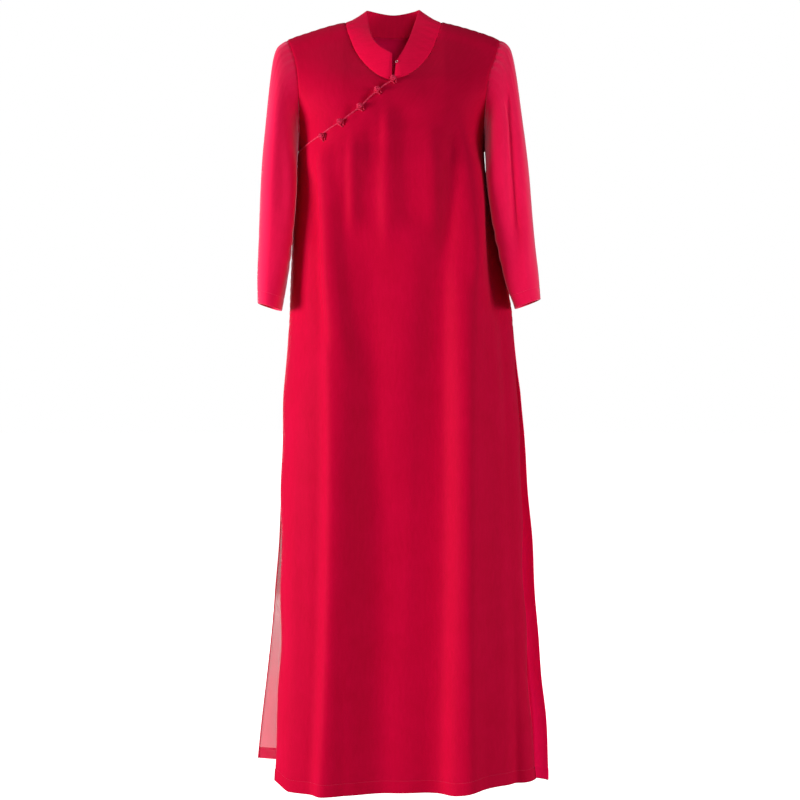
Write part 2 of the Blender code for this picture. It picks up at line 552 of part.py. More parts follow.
def back_grid():
    """Back panel: neck and shoulders, armholes and side edges, down to its hem."""
    left = armhole("left", ARMHOLE_ROWS)
    right = armhole("right", ARMHOLE_ROWS)
    part = np.linspace(0, 1, BACK_SHOULDER_COLUMNS + 1)
    left_x = left[0, 0] + (-NECK_HALF - left[0, 0]) * part
    right_x = NECK_HALF + (right[0, 0] - NECK_HALF) * part
    angle = np.pi * np.linspace(0, 1, BACK_NECK_COLUMNS + 1)[1:-1]
    neck_x = -NECK_HALF * np.cos(angle)
    neck = np.stack([neck_x, -BACK_NECK_DIP * np.sin(angle) ** BACK_NECK_ROUND], axis=-1)
    top = np.concatenate([
        np.stack([left_x, read(SHOULDER, "across", "height", -left_x)], axis=-1), neck,
        np.stack([right_x, read(SHOULDER, "across", "height", right_x)], axis=-1)])
    top[0] = left[0]
    top[-1] = right[0]
    shares = even_arc(len(top) - 1)
    underarm_row = line(left[-1], right[-1], shares)
    upper = coons(top, underarm_row, left, right, shares)
    left = side_line(BACK_BODY, "left", UNDERARM, BACK_HEM_LEFT, BACK_SKIRT_ROWS)
    right = side_line(BACK_BODY, "right", UNDERARM, BACK_HEM_RIGHT, BACK_SKIRT_ROWS)
    lower = coons(underarm_row, line(left[-1], right[-1], shares), left, right, shares)
    return raised(np.concatenate([upper, lower[1:]]), 1, back_lift)


def panel_normals(grid, side, seam_columns=(), top_seams=()):
    """Normals of a panel with its side and shoulder seams' rims flat in the seam plane."""
    normals = grid_normals(grid, np.array([0.0, side, 0.0]))
    for column, first_row in seam_columns:
        rows = np.arange(len(grid))
        on_seam = (rows >= first_row) & (grid[:, column, 2] > SLIT_TOP)
        normals = flatten_to_seam(normals, (np.flatnonzero(on_seam), column))
    for columns in top_seams:
        normals = flatten_to_seam(normals, (0, columns))
    return normals


# ---------------------------------------------------------------- pieces sewn to an edge
def edge_with_tangents(edge, inside):
    """Edge points and the panel's outward direction at each, square to the edge."""
    run = np.gradient(edge, axis=0)
    run /= np.linalg.norm(run, axis=-1, keepdims=True)
    out = edge - inside
    out -= run * np.sum(out * run, axis=-1, keepdims=True)
    return edge, out / np.linalg.norm(out, axis=-1, keepdims=True)


def seam_start(edge, outward, direction, half_wall):
    """First points of a piece sewn to an edge, far enough on that the two walls stay a seam apart."""
    cosine = np.sum(outward * direction, axis=-1)
    sine = np.sqrt(np.maximum(1 - cosine ** 2, 0.0))
    back = np.maximum(-cosine, 0.0)
    step = np.where(back > 0, (SEAM_GAP + half_wall * (1 + back)) / np.maximum(sine, 0.5),
                    SEAM_GAP + half_wall * sine)
    return edge + direction * step[:, None]


def sleeve_grid(rings, front_edge, back_edge):
    """Sleeve rings, from the armhole of the front and back pieces to the cuff.

    Each ring is an ellipse through its outer and inner points. The first takes the armhole's own
    outline, and the difference dies away over the next rings.
    """
    edge = np.concatenate([front_edge[0], back_edge[0][-2:0:-1]])
    outward = np.concatenate([front_edge[1], back_edge[1][-2:0:-1]])
    outer = np.array([(ring.out_x, 0.0, ring.out_z) for ring in rings])
    inner = np.array([(ring.in_x, 0.0, ring.in_z) for ring in rings])
    half_depth = np.array([ring.half_depth for ring in rings])
    centre = (outer + inner) / 2
    centre[:, 1] = [ring.centre_y for ring in rings]
    arm = (outer - inner) / 2
    reach = edge - centre[0]
    up = reach @ arm[0] / (arm[0] @ arm[0])
    angle = np.arctan2(-reach[:, 1] / half_depth[0], up)
    ellipse = (centre[:, None] + arm[:, None] * np.cos(angle)[None, :, None])
    ellipse[..., 1] -= half_depth[:, None] * np.sin(angle)[None]
    keep = 1 - ease(np.arange(len(rings)) / ARMHOLE_BLEND)
    direction = ellipse[1] - ellipse[0] + (edge - ellipse[0]) * (keep[1] - keep[0])
    direction /= np.linalg.norm(direction, axis=-1, keepdims=True)
    start = seam_start(edge, outward, direction, CLOTH / 2)
    grid = ellipse + (start - ellipse[0])[None] * keep[:, None, None]
    middle = grid.mean(axis=1, keepdims=True)
    normals = grid_normals(grid, grid - middle, ring=True)
    facing = np.maximum(-normals[..., 1], 0.0)
    lift = fold_lift(SLEEVE_FOLDS, grid[..., 0], grid[..., 2]) * facing
    return grid + normals * lift[..., None]


def collar_grid(yoke, back, front):
    """Collar band from the necklines of the three panels up to its top edge."""
    neck_end = BACK_SHOULDER_COLUMNS + BACK_NECK_COLUMNS
    pieces = [
        edge_with_tangents(yoke[YOKE_NECK_ROWS::-1, -1], yoke[YOKE_NECK_ROWS::-1, -2]),
        edge_with_tangents(back[0, BACK_SHOULDER_COLUMNS:neck_end + 1],
                           back[1, BACK_SHOULDER_COLUMNS:neck_end + 1]),
        edge_with_tangents(front[:NECK_ROWS + 1, 0], front[:NECK_ROWS + 1, 1]),
    ]
    edge = np.concatenate([pieces[0][0], pieces[1][0][1:-1], pieces[2][0]])
    outward = np.concatenate([pieces[0][1], pieces[1][1][1:-1], pieces[2][1]])
    steps = np.linalg.norm(np.diff(edge, axis=0), axis=-1)
    along = np.concatenate([[0.0], np.cumsum(steps)]) / steps.sum()
    top = np.stack([read(COLLAR_TOP, "along", axis, along) for axis in "xyz"], axis=-1)
    direction = top - edge
    direction /= np.linalg.norm(direction, axis=-1, keepdims=True)
    base = seam_start(edge, outward, direction, COLLAR_WALL / 2)
    share = np.linspace(0, 1, COLLAR_ROWS + 1)[:, None, None]
    grid = base[None] * (1 - share) + top[None] * share
    normals = grid_normals(grid, grid - grid.mean(axis=(0, 1)))
    return grid + normals * (COLLAR_BOW * np.sin(np.pi * share))


# ---------------------------------------------------------------- fastenings
def on_front(x, z):
    """Outer face of the front panel at (x, z), and its outward normal."""
    steps = PROBE * np.array([(0, 0), (1, 0), (-1, 0), (0, 1), (0, -1)])
    plan = np.array([x, z]) + steps
    points = body_points(plan[:, 0], plan[:, 1], -1)
    normal = Vector(points[1] - points[2]).cross(Vector(points[3] - points[4])).normalized()
    if normal.y > 0:
        normal.negate()
    lift = float(front_lift(plan[:1, 0], plan[:1, 1])[0]) + CLOTH / 2
    return Vector(points[0]) + normal * lift, normal


def add_cord(name, points, radius, finish, closed=False):
    """Round cord along a list of points, with closed ends."""
    data = bpy.data.curves.new(name, "CURVE")
    data.dimensions = "3D"
    data.bevel_depth = radius
    data.bevel_resolution = 1
    data.use_fill_caps = not closed
    spline = data.splines.new("POLY")
    spline.points.add(len(points) - 1)
    for slot, point in zip(spline.points, points):
        slot.co = (*point, 1.0)
    spline.use_cyclic_u = closed
    spline.use_smooth = True
    item = bpy.data.objects.new(name, data)
    bpy.context.scene.collection.objects.link(item)
    data.materials.append(add_material(name, finish))
    return item


def add_knot(name, seat, normal):
    """Ball knot: a slightly flat ball with shallow lobes, seated on the loop's cord."""
    mesh = bmesh.new()
    poles = [mesh.verts.new((0, 0, -BUTTON_RADIUS * BUTTON_FLATTEN)),
             mesh.verts.new((0, 0, BUTTON_RADIUS * BUTTON_FLATTEN))]
    bands = []
    for band in range(1, BUTTON_BANDS):
        polar = math.pi * band / BUTTON_BANDS
        ring = []
        for side in range(BUTTON_SIDES):
            turn = 2 * math.pi * side / BUTTON_SIDES
            lobe = 1 + BUTTON_LOBE_DEPTH * math.sin(polar) ** 2 * (math.cos(BUTTON_LOBES * turn + polar) - 1)
            across = BUTTON_RADIUS * lobe * math.sin(polar)
            height = -BUTTON_RADIUS * BUTTON_FLATTEN * math.cos(polar)
            ring.append(mesh.verts.new((across * math.cos(turn), across * math.sin(turn), height)))
        bands.append(ring)
    for side in range(BUTTON_SIDES):
        after = (side + 1) % BUTTON_SIDES
        mesh.faces.new((poles[0], bands[0][after], bands[0][side]))
        mesh.faces.new((poles[1], bands[-1][side], bands[-1][after]))
        for low, high in zip(bands, bands[1:]):
            mesh.faces.new((low[side], low[after], high[after], high[side]))
    item = add_object(name, mesh, KNOT_CLOTH)
    item.location = seat + normal * (REST_GAP + BUTTON_RADIUS * BUTTON_FLATTEN)
    item.rotation_mode = "QUATERNION"
    item.rotation_quaternion = normal.to_track_quat("Z", "Y")
    return item


def loop_points(seat, normal, tail_way):
    """Loop of cord round a knot's foot, with both tails lying towards the front panel."""
    tail_way = (tail_way - normal * tail_way.dot(normal)).normalized()
    across = normal.cross(tail_way)
    centre = seat + normal * (REST_GAP + LOOP_CORD)
    points = []
    for turn in np.linspace(LOOP_OPENING, 2 * math.pi - LOOP_OPENING, LOOP_POINTS):
        points.append(centre + LOOP_RADIUS * (tail_way * math.cos(turn) + across * math.sin(turn)))
    tails = [end + tail_way * LOOP_TAIL for end in (points[0], points[-1])]
    return [tails[0], *points, tails[1]]


def add_fastenings():
    """Knots and loops along the diagonal edge."""
    for number, knot in enumerate(KNOTS, start=1):
        height = float(diagonal_height(knot.across)) - knot.below_edge
        seat, normal = on_front(knot.across, height)
        ends = diagonal_height(np.array([knot.across + EDGE_PROBE, knot.across - EDGE_PROBE]))
        rise = float(ends[0] - ends[1]) / (2 * EDGE_PROBE)
        tail_way = Vector((rise, 0.0, -1.0))
        add_knot(f"knot_button_{number}", seat, normal)
        add_cord(f"button_loop_{number}", loop_points(seat, normal, tail_way), LOOP_CORD, KNOT_CLOTH)


def add_hook(collar, normals):
    """Small wire eye on the outer face of the collar's right front end."""
    across = np.array([HOOK_FROM_END, 1 - HOOK_FROM_END])
    down = np.array([HOOK_FROM_TOP, 1 - HOOK_FROM_TOP])
    place = np.einsum("r,c,rcx->x", down, across, collar[-2:, -2:])
    normal = Vector(normals[-1, -1])
    centre = Vector(place) + normal * (COLLAR_WALL / 2 + REST_GAP + HOOK_WIRE)
    side = normal.orthogonal().normalized()
    up = normal.cross(side)
    turns = np.linspace(0, 2 * math.pi, HOOK_POINTS, endpoint=False)
    ring = [centre + HOOK_RING * (side * math.cos(t) + up * math.sin(t)) for t in turns]
    add_cord("collar_hook", ring, HOOK_WIRE, HOOK_METAL, closed=True)


# ---------------------------------------------------------------- the tunic
def main():
    """Build every piece of the tunic."""
    for item in list(bpy.data.objects):
        bpy.data.objects.remove(item)

    front = front_grid()
    yoke = yoke_grid()
    back = back_grid()
    neck_end = BACK_SHOULDER_COLUMNS + BACK_NECK_COLUMNS
    upper_rows = NECK_ROWS + DIAGONAL_ROWS

    front_normals = panel_normals(front, -1, [(0, upper_rows), (-1, upper_rows)], [slice(None)])
    yoke_normals = panel_normals(yoke, -1, [(0, ARMHOLE_ROWS)], [slice(None)])
    back_normals = panel_normals(back, 1, [(0, ARMHOLE_ROWS), (-1, ARMHOLE_ROWS)],
                                 [slice(0, BACK_SHOULDER_COLUMNS + 1), slice(neck_end, None)])
    add_wall("front_panel", front, front_normals, CLOTH, CREPE)
    add_wall("shoulder_yoke", yoke, yoke_normals, CLOTH, CREPE)
    add_wall("back_panel", back, back_normals, CLOTH, CREPE_LIGHT)

    armhole_rows = slice(0, ARMHOLE_ROWS + 1)
    left_front = edge_with_tangents(yoke[armhole_rows, 0], yoke[armhole_rows, 1])
    left_back = edge_with_tangents(back[armhole_rows, 0], back[armhole_rows, 1])
    right_front = edge_with_tangents(front[:upper_rows + 1, -1], front[:upper_rows + 1, -2])
    right_back = edge_with_tangents(back[armhole_rows, -1], back[armhole_rows, -2])
    for name, rings, front_edge, back_edge in (
            ("sleeve_left", LEFT_SLEEVE, left_front, left_back),
            ("sleeve_right", RIGHT_SLEEVE, right_front, right_back)):
        sleeve = sleeve_grid(rings, front_edge, back_edge)
        outward = sleeve - sleeve.mean(axis=1, keepdims=True)
        add_wall(name, sleeve, grid_normals(sleeve, outward, ring=True), CLOTH, CREPE, ring=True)

    collar = collar_grid(yoke, back, front)
    collar_normals = grid_normals(collar, collar - collar.mean(axis=(0, 1)))
    add_wall("collar", collar, collar_normals, COLLAR_WALL, CREPE_DARK)
    add_fastenings()
    add_hook(collar, collar_normals)


main()
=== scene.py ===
"""Looks of the ao dai tunic: fine cloth on the form of its solids, its hems, knots and studio.

Metres, +Z up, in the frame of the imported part. The origin lies midway between the two side neck
points. The front of the garment faces -Y, and +X is the wearer's left.
"""
import logging
import math
from dataclasses import dataclass, field
from enum import Enum

import bpy
import numpy as np
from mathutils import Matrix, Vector


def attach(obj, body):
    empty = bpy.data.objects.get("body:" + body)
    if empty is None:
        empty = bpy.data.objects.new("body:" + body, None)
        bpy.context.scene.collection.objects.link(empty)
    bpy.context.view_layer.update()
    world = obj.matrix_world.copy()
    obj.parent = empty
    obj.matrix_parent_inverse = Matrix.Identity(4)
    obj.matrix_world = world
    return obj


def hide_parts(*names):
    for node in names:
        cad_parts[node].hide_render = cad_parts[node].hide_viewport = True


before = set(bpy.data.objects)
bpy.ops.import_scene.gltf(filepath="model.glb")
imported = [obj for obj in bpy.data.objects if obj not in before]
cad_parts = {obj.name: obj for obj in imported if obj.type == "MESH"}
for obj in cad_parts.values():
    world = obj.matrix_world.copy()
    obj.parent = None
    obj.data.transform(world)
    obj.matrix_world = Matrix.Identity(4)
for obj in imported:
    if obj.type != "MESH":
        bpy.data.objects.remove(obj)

LOG = logging.getLogger("tunic")
MM = 0.001
WAVE_BANDS = 20  # bands that a wave texture draws to a unit at scale 1
Array = np.ndarray


# ------------------------------------------------------------------------------ smooth curves
def ease(t: Array) -> Array:
    """Smooth step from 0 to 1."""
    t = np.clip(t, 0.0, 1.0)
    return t * t * (3 - 2 * t)


def bump(distance: Array, width: float) -> Array:
    """Bell curve: 1 at distance 0, and about nothing past 2.5 widths."""
    return np.exp(-0.5 * (distance / width) ** 2)


def graded(count: int, crowd: float = 0.7) -> Array:
    """count + 1 shares from 0 to 1 that lie closer together at both ends.

    Args:
        count: number of steps.
        crowd: 0 for even steps, and 1 for the steps of a cosine.

    Returns:
        The shares.
    """
    even = np.linspace(0, 1, count + 1)
    return even * (1 - crowd) + (1 - np.cos(np.pi * even)) / 2 * crowd


def graded_to_end(count: int) -> Array:
    """count + 1 shares from 0 to 1, closest together at the last end."""
    return np.sin(np.pi / 2 * np.linspace(0, 1, count + 1))


@dataclass(frozen=True)
class Table:
    """Short table, each column of which is a smooth function of the first column.

    Attributes:
        columns: names of the columns, the key column first.
        rows: the rows, a number for each column.
    """

    columns: tuple[str, ...]
    rows: tuple[tuple[float, ...], ...]

    def column(self, name: str) -> Array:
        """One column, in the order of the rows."""
        return np.array([row[self.columns.index(name)] for row in self.rows])

    def read(self, name: str, at: Array, root: bool = False) -> Array:
        """Column name at the given keys, by a cubic that never overshoots the rows.

        The cubic's slope at each row is the harmonic mean of the slopes to each side.

        Args:
            name: the column.
            at: the keys.
            root: True to run the curve over the square root of the key.

        Returns:
            One value for each key.
        """
        knots, values = self.column(self.columns[0]), self.column(name)
        at = np.asarray(at, dtype=float)
        if root:
            knots, at = np.sqrt(knots), np.sqrt(at)
        order = np.argsort(knots)
        knots, values = knots[order], values[order]
        step = np.diff(knots)
        rise = np.diff(values) / step
        same_way = rise[:-1] * rise[1:] > 0
        total = np.where(same_way, rise[:-1] + rise[1:], 1.0)
        inner = np.where(same_way, 2 * rise[:-1] * rise[1:] / total, 0.0)
        slope = np.concatenate([rise[:1], inner, rise[-1:]])
        at = np.clip(at, knots[0], knots[-1])
        cell = np.clip(np.searchsorted(knots, at, side="right") - 1, 0, len(step) - 1)
        t = (at - knots[cell]) / step[cell]
        return (values[cell] * (1 + 2 * t) * (1 - t) ** 2 + values[cell + 1] * t**2 * (3 - 2 * t)
                + step[cell] * t * (1 - t) * (slope[cell] * (1 - t) - slope[cell + 1] * t))


# ------------------------------------------------------------------------------ form of the garment
class Side(Enum):
    """The two faces of the garment, and the way each one points along Y."""

    FRONT = -1
    BACK = 1


SLIT_TOP = -0.5500
UNDERARM = -0.2270
SHOULDER = Table(("across", "height"), (
    (0.0000, 0.0000), (0.0840, 0.0000), (0.0980, -0.0025), (0.1275, -0.0100), (0.1500, -0.0170),
    (0.1700, -0.0240), (0.1900, -0.0330)))
DEPTHS = Table(("drop", "front", "back_neck", "back_tip"), (
    (0.0000, 0.0000, 0.0000, 0.0000), (0.0025, 0.0085, 0.0180, 0.0090),
    (0.0100, 0.0165, 0.0390, 0.0185), (0.0200, 0.0235, 0.0520, 0.0270),
    (0.0360, 0.0320, 0.0620, 0.0390), (0.0580, 0.0460, 0.0690, 0.0510),
    (0.0820, 0.0620, 0.0740, 0.0600), (0.1210, 0.0870, 0.0800, 0.0710),
    (0.1700, 0.1060, 0.0840, 0.0790), (0.2270, 0.1190, 0.0870, 0.0860),
    (0.2700, 0.1250, 0.0880, 0.0880), (0.3600, 0.1220, 0.0810, 0.0810),
    (0.4200, 0.1190, 0.0770, 0.0770), (0.5200, 0.1190, 0.0880, 0.0880),
    (0.6200, 0.1180, 0.1000, 0.1000), (0.7500, 0.1150, 0.1070, 0.1070),
    (0.9500, 0.1120, 0.1140, 0.1140), (1.1500, 0.1080, 0.1200, 0.1200),
    (1.3500, 0.1040, 0.1260, 0.1260)))
SECTION = ("height", "left", "left_y", "right", "right_y", "wrap", "square")
UPPER_BODY = (
    (0.0000, -0.5600, 0.0, 0.5500, 0.0, 0.985, 2.5), (-0.0300, -0.4200, 0.0, 0.4200, 0.0, 0.985, 2.5),
    (-0.0800, -0.2800, 0.0, 0.2700, 0.0, 0.985, 2.5), (-0.1300, -0.2070, 0.0, 0.2000, 0.0, 0.985, 2.5),
    (-0.1850, -0.1710, 0.0, 0.1650, 0.0, 0.985, 2.5), (-0.2270, -0.1663, 0.0, 0.1600, 0.0, 0.985, 2.5),
    (-0.2830, -0.1706, 0.0, 0.1644, 0.0, 0.985, 2.5), (-0.3340, -0.1746, 0.0, 0.1748, 0.0, 0.985, 2.5),
    (-0.3850, -0.1785, 0.0, 0.1856, 0.0, 0.985, 2.5), (-0.4365, -0.1807, 0.0, 0.1968, 0.0, 0.985, 2.5),
    (-0.4770, -0.1822, 0.0, 0.2038, 0.0, 0.985, 2.5), (-0.5100, -0.1832, 0.0, 0.2090, 0.0, 0.980, 2.5),
    (SLIT_TOP, -0.1850, 0.0, 0.2115, 0.0, 0.975, 2.5))
FRONT_BODY = Table(SECTION, UPPER_BODY + (
    (-0.6100, -0.1890, -0.008, 0.2140, -0.006, 0.975, 2.7),
    (-0.6560, -0.1915, -0.015, 0.2165, -0.012, 0.975, 2.9),
    (-0.8000, -0.1945, -0.030, 0.2218, -0.026, 0.975, 3.2),
    (-0.9740, -0.1942, -0.040, 0.2246, -0.036, 0.975, 3.4),
    (-1.0850, -0.1945, -0.044, 0.2306, -0.040, 0.975, 3.5),
    (-1.1780, -0.1985, -0.047, 0.2335, -0.043, 0.975, 3.5),
    (-1.2400, -0.2018, -0.049, 0.2397, -0.045, 0.975, 3.5),
    (-1.3400, -0.2035, -0.050, 0.2482, -0.046, 0.975, 3.5)))
BACK_BODY = Table(SECTION, UPPER_BODY + (
    (-0.6100, -0.1892, 0.006, 0.2180, 0.005, 0.965, 2.5),
    (-0.6560, -0.1925, 0.018, 0.2256, 0.012, 0.955, 2.6),
    (-0.7630, -0.1975, 0.048, 0.2348, 0.032, 0.940, 2.6),
    (-0.8930, -0.2065, 0.076, 0.2472, 0.052, 0.925, 2.6),
    (-1.0660, -0.2215, 0.100, 0.2594, 0.068, 0.905, 2.6),
    (-1.1520, -0.2310, 0.110, 0.2672, 0.075, 0.895, 2.6),
    (-1.2400, -0.2420, 0.121, 0.2766, 0.081, 0.890, 2.6),
    (-1.3400, -0.2530, 0.131, 0.2822, 0.087, 0.885, 2.6)))
ARMHOLES = Table(("height", "left", "right"), (
    (-0.0315, -0.1868, 0.1868), (-0.0500, -0.1790, 0.1815), (-0.0750, -0.1710, 0.1740),
    (-0.1000, -0.1665, 0.1655), (-0.1400, -0.1640, 0.1600), (-0.1850, -0.1640, 0.1585),
    (UNDERARM, -0.1663, 0.1600)))
FRONT_NECK = Table(("height", "across"), (
    (0.0000, 0.0840), (-0.0180, 0.0805), (-0.0360, 0.0745), (-0.0580, 0.0665), (-0.0790, 0.0550),
    (-0.1030, 0.0350), (-0.1160, 0.0160), (-0.1210, 0.0)))
DIAGONAL = Table(("across", "height"), (
    (0.0015, -0.1215), (-0.0270, -0.1430), (-0.0550, -0.1710), (-0.0870, -0.1950),
    (-0.1170, -0.2120), (-0.1500, -0.2275), (-0.1663, -0.2345)))
KNOTS = Table(("across", "below_edge"), (
    (0.0000, 0.0000), (-0.0267, 0.0000), (-0.0552, 0.0008), (-0.0872, 0.0015), (-0.1165, 0.0060)))


@dataclass(frozen=True)
class Form:
    """Worn form of the garment's body, as points over places (x, z).

    A section is a rounded form between its two side lines. Its middle stands off the seam plane by
    a depth that grows with the drop below the shoulder line.
    """

    neck_half: float = 0.0840
    back_fade: float = 0.070
    edge_hold: int = 10
    lap_lift: float = 0.0026
    lap_fade: float = 0.060

    def rows(self, side: Side) -> Table:
        """Side lines of the front or the back."""
        return FRONT_BODY if side is Side.FRONT else BACK_BODY

    def depth(self, x: Array, z: Array, side: Side) -> Array:
        """Depth of the form's middle at a drop below the shoulder line.

        Args:
            x: places across.
            z: heights.
            side: front or back.

        Returns:
            Distance of the middle from the seam plane.
        """
        drop = np.maximum(SHOULDER.read("height", np.abs(x)) - z, 0.0)
        if side is Side.FRONT:
            return DEPTHS.read("front", drop, root=True)
        out = ease((np.abs(x) - self.neck_half) / self.back_fade)
        near = DEPTHS.read("back_neck", drop, root=True)
        return near * (1 - out) + DEPTHS.read("back_tip", drop, root=True) * out

    def share(self, x: Array, z: Array, side: Side) -> Array:
        """Place across the section: -1 at its left side line, 1 at its right one.

        Args:
            x: places across.
            z: heights.
            side: front or back.

        Returns:
            One share for each place.
        """
        rows = self.rows(side)
        left, right = rows.read("left", z), rows.read("right", z)
        return np.clip((2 * x - left - right) / (right - left), -1.0, 1.0)

    def points(self, x: Array, z: Array, side: Side) -> Array:
        """Points of the form at places (x, z).

        Depth falls to 0 at the side lines along a superellipse, (1 - t^n)^(1/n), cut off at t = wrap.

        Args:
            x: places across.
            z: heights.
            side: front or back.

        Returns:
            Points with a last axis of 3.
        """
        rows = self.rows(side)
        across = self.share(x, z, side)
        wrap, square = rows.read("wrap", z), rows.read("square", z)
        edge = (1 - wrap**square) ** (1 / square)
        arc = (1 - np.clip(wrap * np.abs(across), 0, 1) ** square) ** (1 / square)
        full = (arc - edge) / (1 - edge)
        edge_y = (rows.read("left_y", z) * (1 - across) + rows.read("right_y", z) * (1 + across)) / 2
        y = edge_y * (1 - full) + side.value * self.depth(x, z, side) * full
        return np.stack([x, y, z], axis=-1)

    def hold(self, x: Array, z: Array, side: Side) -> Array:
        """1 over a panel and 0 at its side lines, so that folds leave the seams straight."""
        return 1 - np.abs(self.share(x, z, side)) ** self.edge_hold

    def lap(self, x: Array, z: Array) -> Array:
        """1 along the diagonal edge of the front panel, dying away to 0 below and beside it.

        Args:
            x: places across.
            z: heights.

        Returns:
            One share for each place.
        """
        below = np.maximum(DIAGONAL.read("height", x) - z, 0.0)
        beside = np.maximum(x - DIAGONAL.rows[0][0], 0.0)
        return 1 - ease(np.hypot(below, beside) / self.lap_fade)

    def armhole(self, name: str, shares: Array) -> Array:
        """Armhole in (x, z) from the shoulder tip to the underarm.

        Args:
            name: left or right.
            shares: places down the armhole, 0 at the shoulder tip.

        Returns:
            Points of shape (count, 2).
        """
        top = ARMHOLES.rows[0][0]
        height = top + (UNDERARM - top) * shares
        return np.stack([ARMHOLES.read(name, height), height], axis=-1)

    def side_line(self, side: Side, name: str, heights: Array) -> Array:
        """Side line in (x, z) at the given heights."""
        return np.stack([self.rows(side).read(name, heights), heights], axis=-1)

    def front_neck(self, shares: Array) -> Array:
        """Front neckline in (x, z) from the left side neck point to the centre.

        Args:
            shares: places along the neckline, 0 at the side neck point.

        Returns:
            Points of shape (count, 2).
        """
        spread = 1.4
        height = FRONT_NECK.rows[-1][0] * shares**spread
        return np.stack([FRONT_NECK.read("across", height), height], axis=-1)


FORM = Form()


# ------------------------------------------------------------------------------ folds
BELOW_HEM = -1.60


@dataclass(frozen=True)
class Fold:
    """Long soft ridge (lift above 0) or trough (below 0) down a piece of cloth.

    Its line is the parabola through its high, middle and low places. Across it the lift is a bell
    curve; crisp turns the bell into a roof with a narrow crest, and skew makes one side steeper.

    Attributes:
        high: height where it starts.
        low: height where it ends.
        across: places across at its start, middle and end.
        half_width: half width of the bell, in metres.
        lift: height of the crest off the cloth.
        fade: length over which it starts and ends.
        crisp: 0 for a bell, 1 for a roof.
        skew: above 0 the side towards +X is the steeper one.
    """

    high: float
    low: float
    across: tuple[float, float, float]
    half_width: float
    lift: float
    fade: float
    crisp: float = 0.0
    skew: float = 0.0

    def rise(self, x: Array, z: Array) -> Array:
        """Lift of this fold at places (x, z).

        Args:
            x: places across.
            z: heights.

        Returns:
            Lift off the cloth at each place.
        """
        t = (self.high - z) / (self.high - self.low)
        line = (self.across[0] * (1 - t) * (1 - 2 * t) + self.across[1] * 4 * t * (1 - t)
                + self.across[2] * t * (2 * t - 1))
        window = ease((self.high - z) / self.fade) * ease((z - self.low) / self.fade)
        u = (x - line) / self.half_width
        u = u * (1 + self.skew * np.tanh(u))
        soft_crest = 0.22
        roof = np.exp(-(np.sqrt(u**2 + soft_crest**2) - soft_crest) * 1.05)
        return self.lift * window * (np.exp(-0.5 * u**2) * (1 - self.crisp) + roof * self.crisp)


def rise_of(folds: tuple[Fold, ...], x: Array, z: Array) -> Array:
    """Sum of several folds at places (x, z)."""
    return sum((fold.rise(x, z) for fold in folds), np.zeros_like(x))


# Largest folds of the hanging front; the finer creases between them follow.
FRONT_FOLDS = (
    Fold(-0.185, BELOW_HEM, (-0.118, -0.103, -0.139), 0.0135, 0.0150, 0.12, skew=-0.40),
    Fold(-0.235, -0.420, (-0.134, -0.138, -0.132), 0.0090, -0.0075, 0.06, skew=0.10),
    Fold(-0.250, -0.640, (-0.081, -0.075, -0.044), 0.0170, -0.0080, 0.09, skew=-0.48),
    Fold(-0.180, -0.400, (-0.032, -0.033, -0.031), 0.0173, -0.0078, 0.06, skew=-0.15),
    Fold(-0.140, -0.400, (0.022, 0.027, 0.035), 0.0220, -0.0078, 0.06, skew=-0.30),
    Fold(-0.180, -0.450, (0.102, 0.099, 0.095), 0.0083, -0.0072, 0.08, skew=0.30),
    Fold(-0.200, BELOW_HEM, (0.141, 0.123, 0.133), 0.0204, 0.0155, 0.09, skew=0.25),
    Fold(-0.300, -0.560, (0.160, 0.172, 0.182), 0.0110, -0.0078, 0.08, skew=-0.15),
    Fold(-0.560, BELOW_HEM, (-0.042, -0.041, -0.063), 0.0192, -0.0033, 0.16, skew=-0.10),
    Fold(-0.700, BELOW_HEM, (-0.005, -0.003, -0.008), 0.0293, -0.0045, 0.20, skew=-0.40),
    Fold(-0.420, BELOW_HEM, (0.064, 0.066, 0.032), 0.0239, -0.0042, 0.14, skew=0.33),
    Fold(-0.620, BELOW_HEM, (0.177, 0.185, 0.220), 0.0206, -0.0058, 0.16, skew=-0.20),
    Fold(-0.300, BELOW_HEM, (0.180, 0.211, 0.219), 0.0125, -0.0140, 0.20, crisp=0.6, skew=-0.10),
    Fold(-0.240, -0.600, (-0.136, -0.131, -0.106), 0.0093, -0.0078, 0.08, skew=0.27),
    Fold(-0.300, BELOW_HEM, (0.082, 0.085, 0.067), 0.0164, -0.0130, 0.20, skew=0.46),
    Fold(-0.300, BELOW_HEM, (-0.028, -0.021, -0.013), 0.0330, -0.0100, 0.20, skew=-0.33),
    Fold(-0.160, -0.500, (0.117, 0.127, 0.137), 0.0103, 0.0070, 0.08, crisp=0.25, skew=-0.10),
)
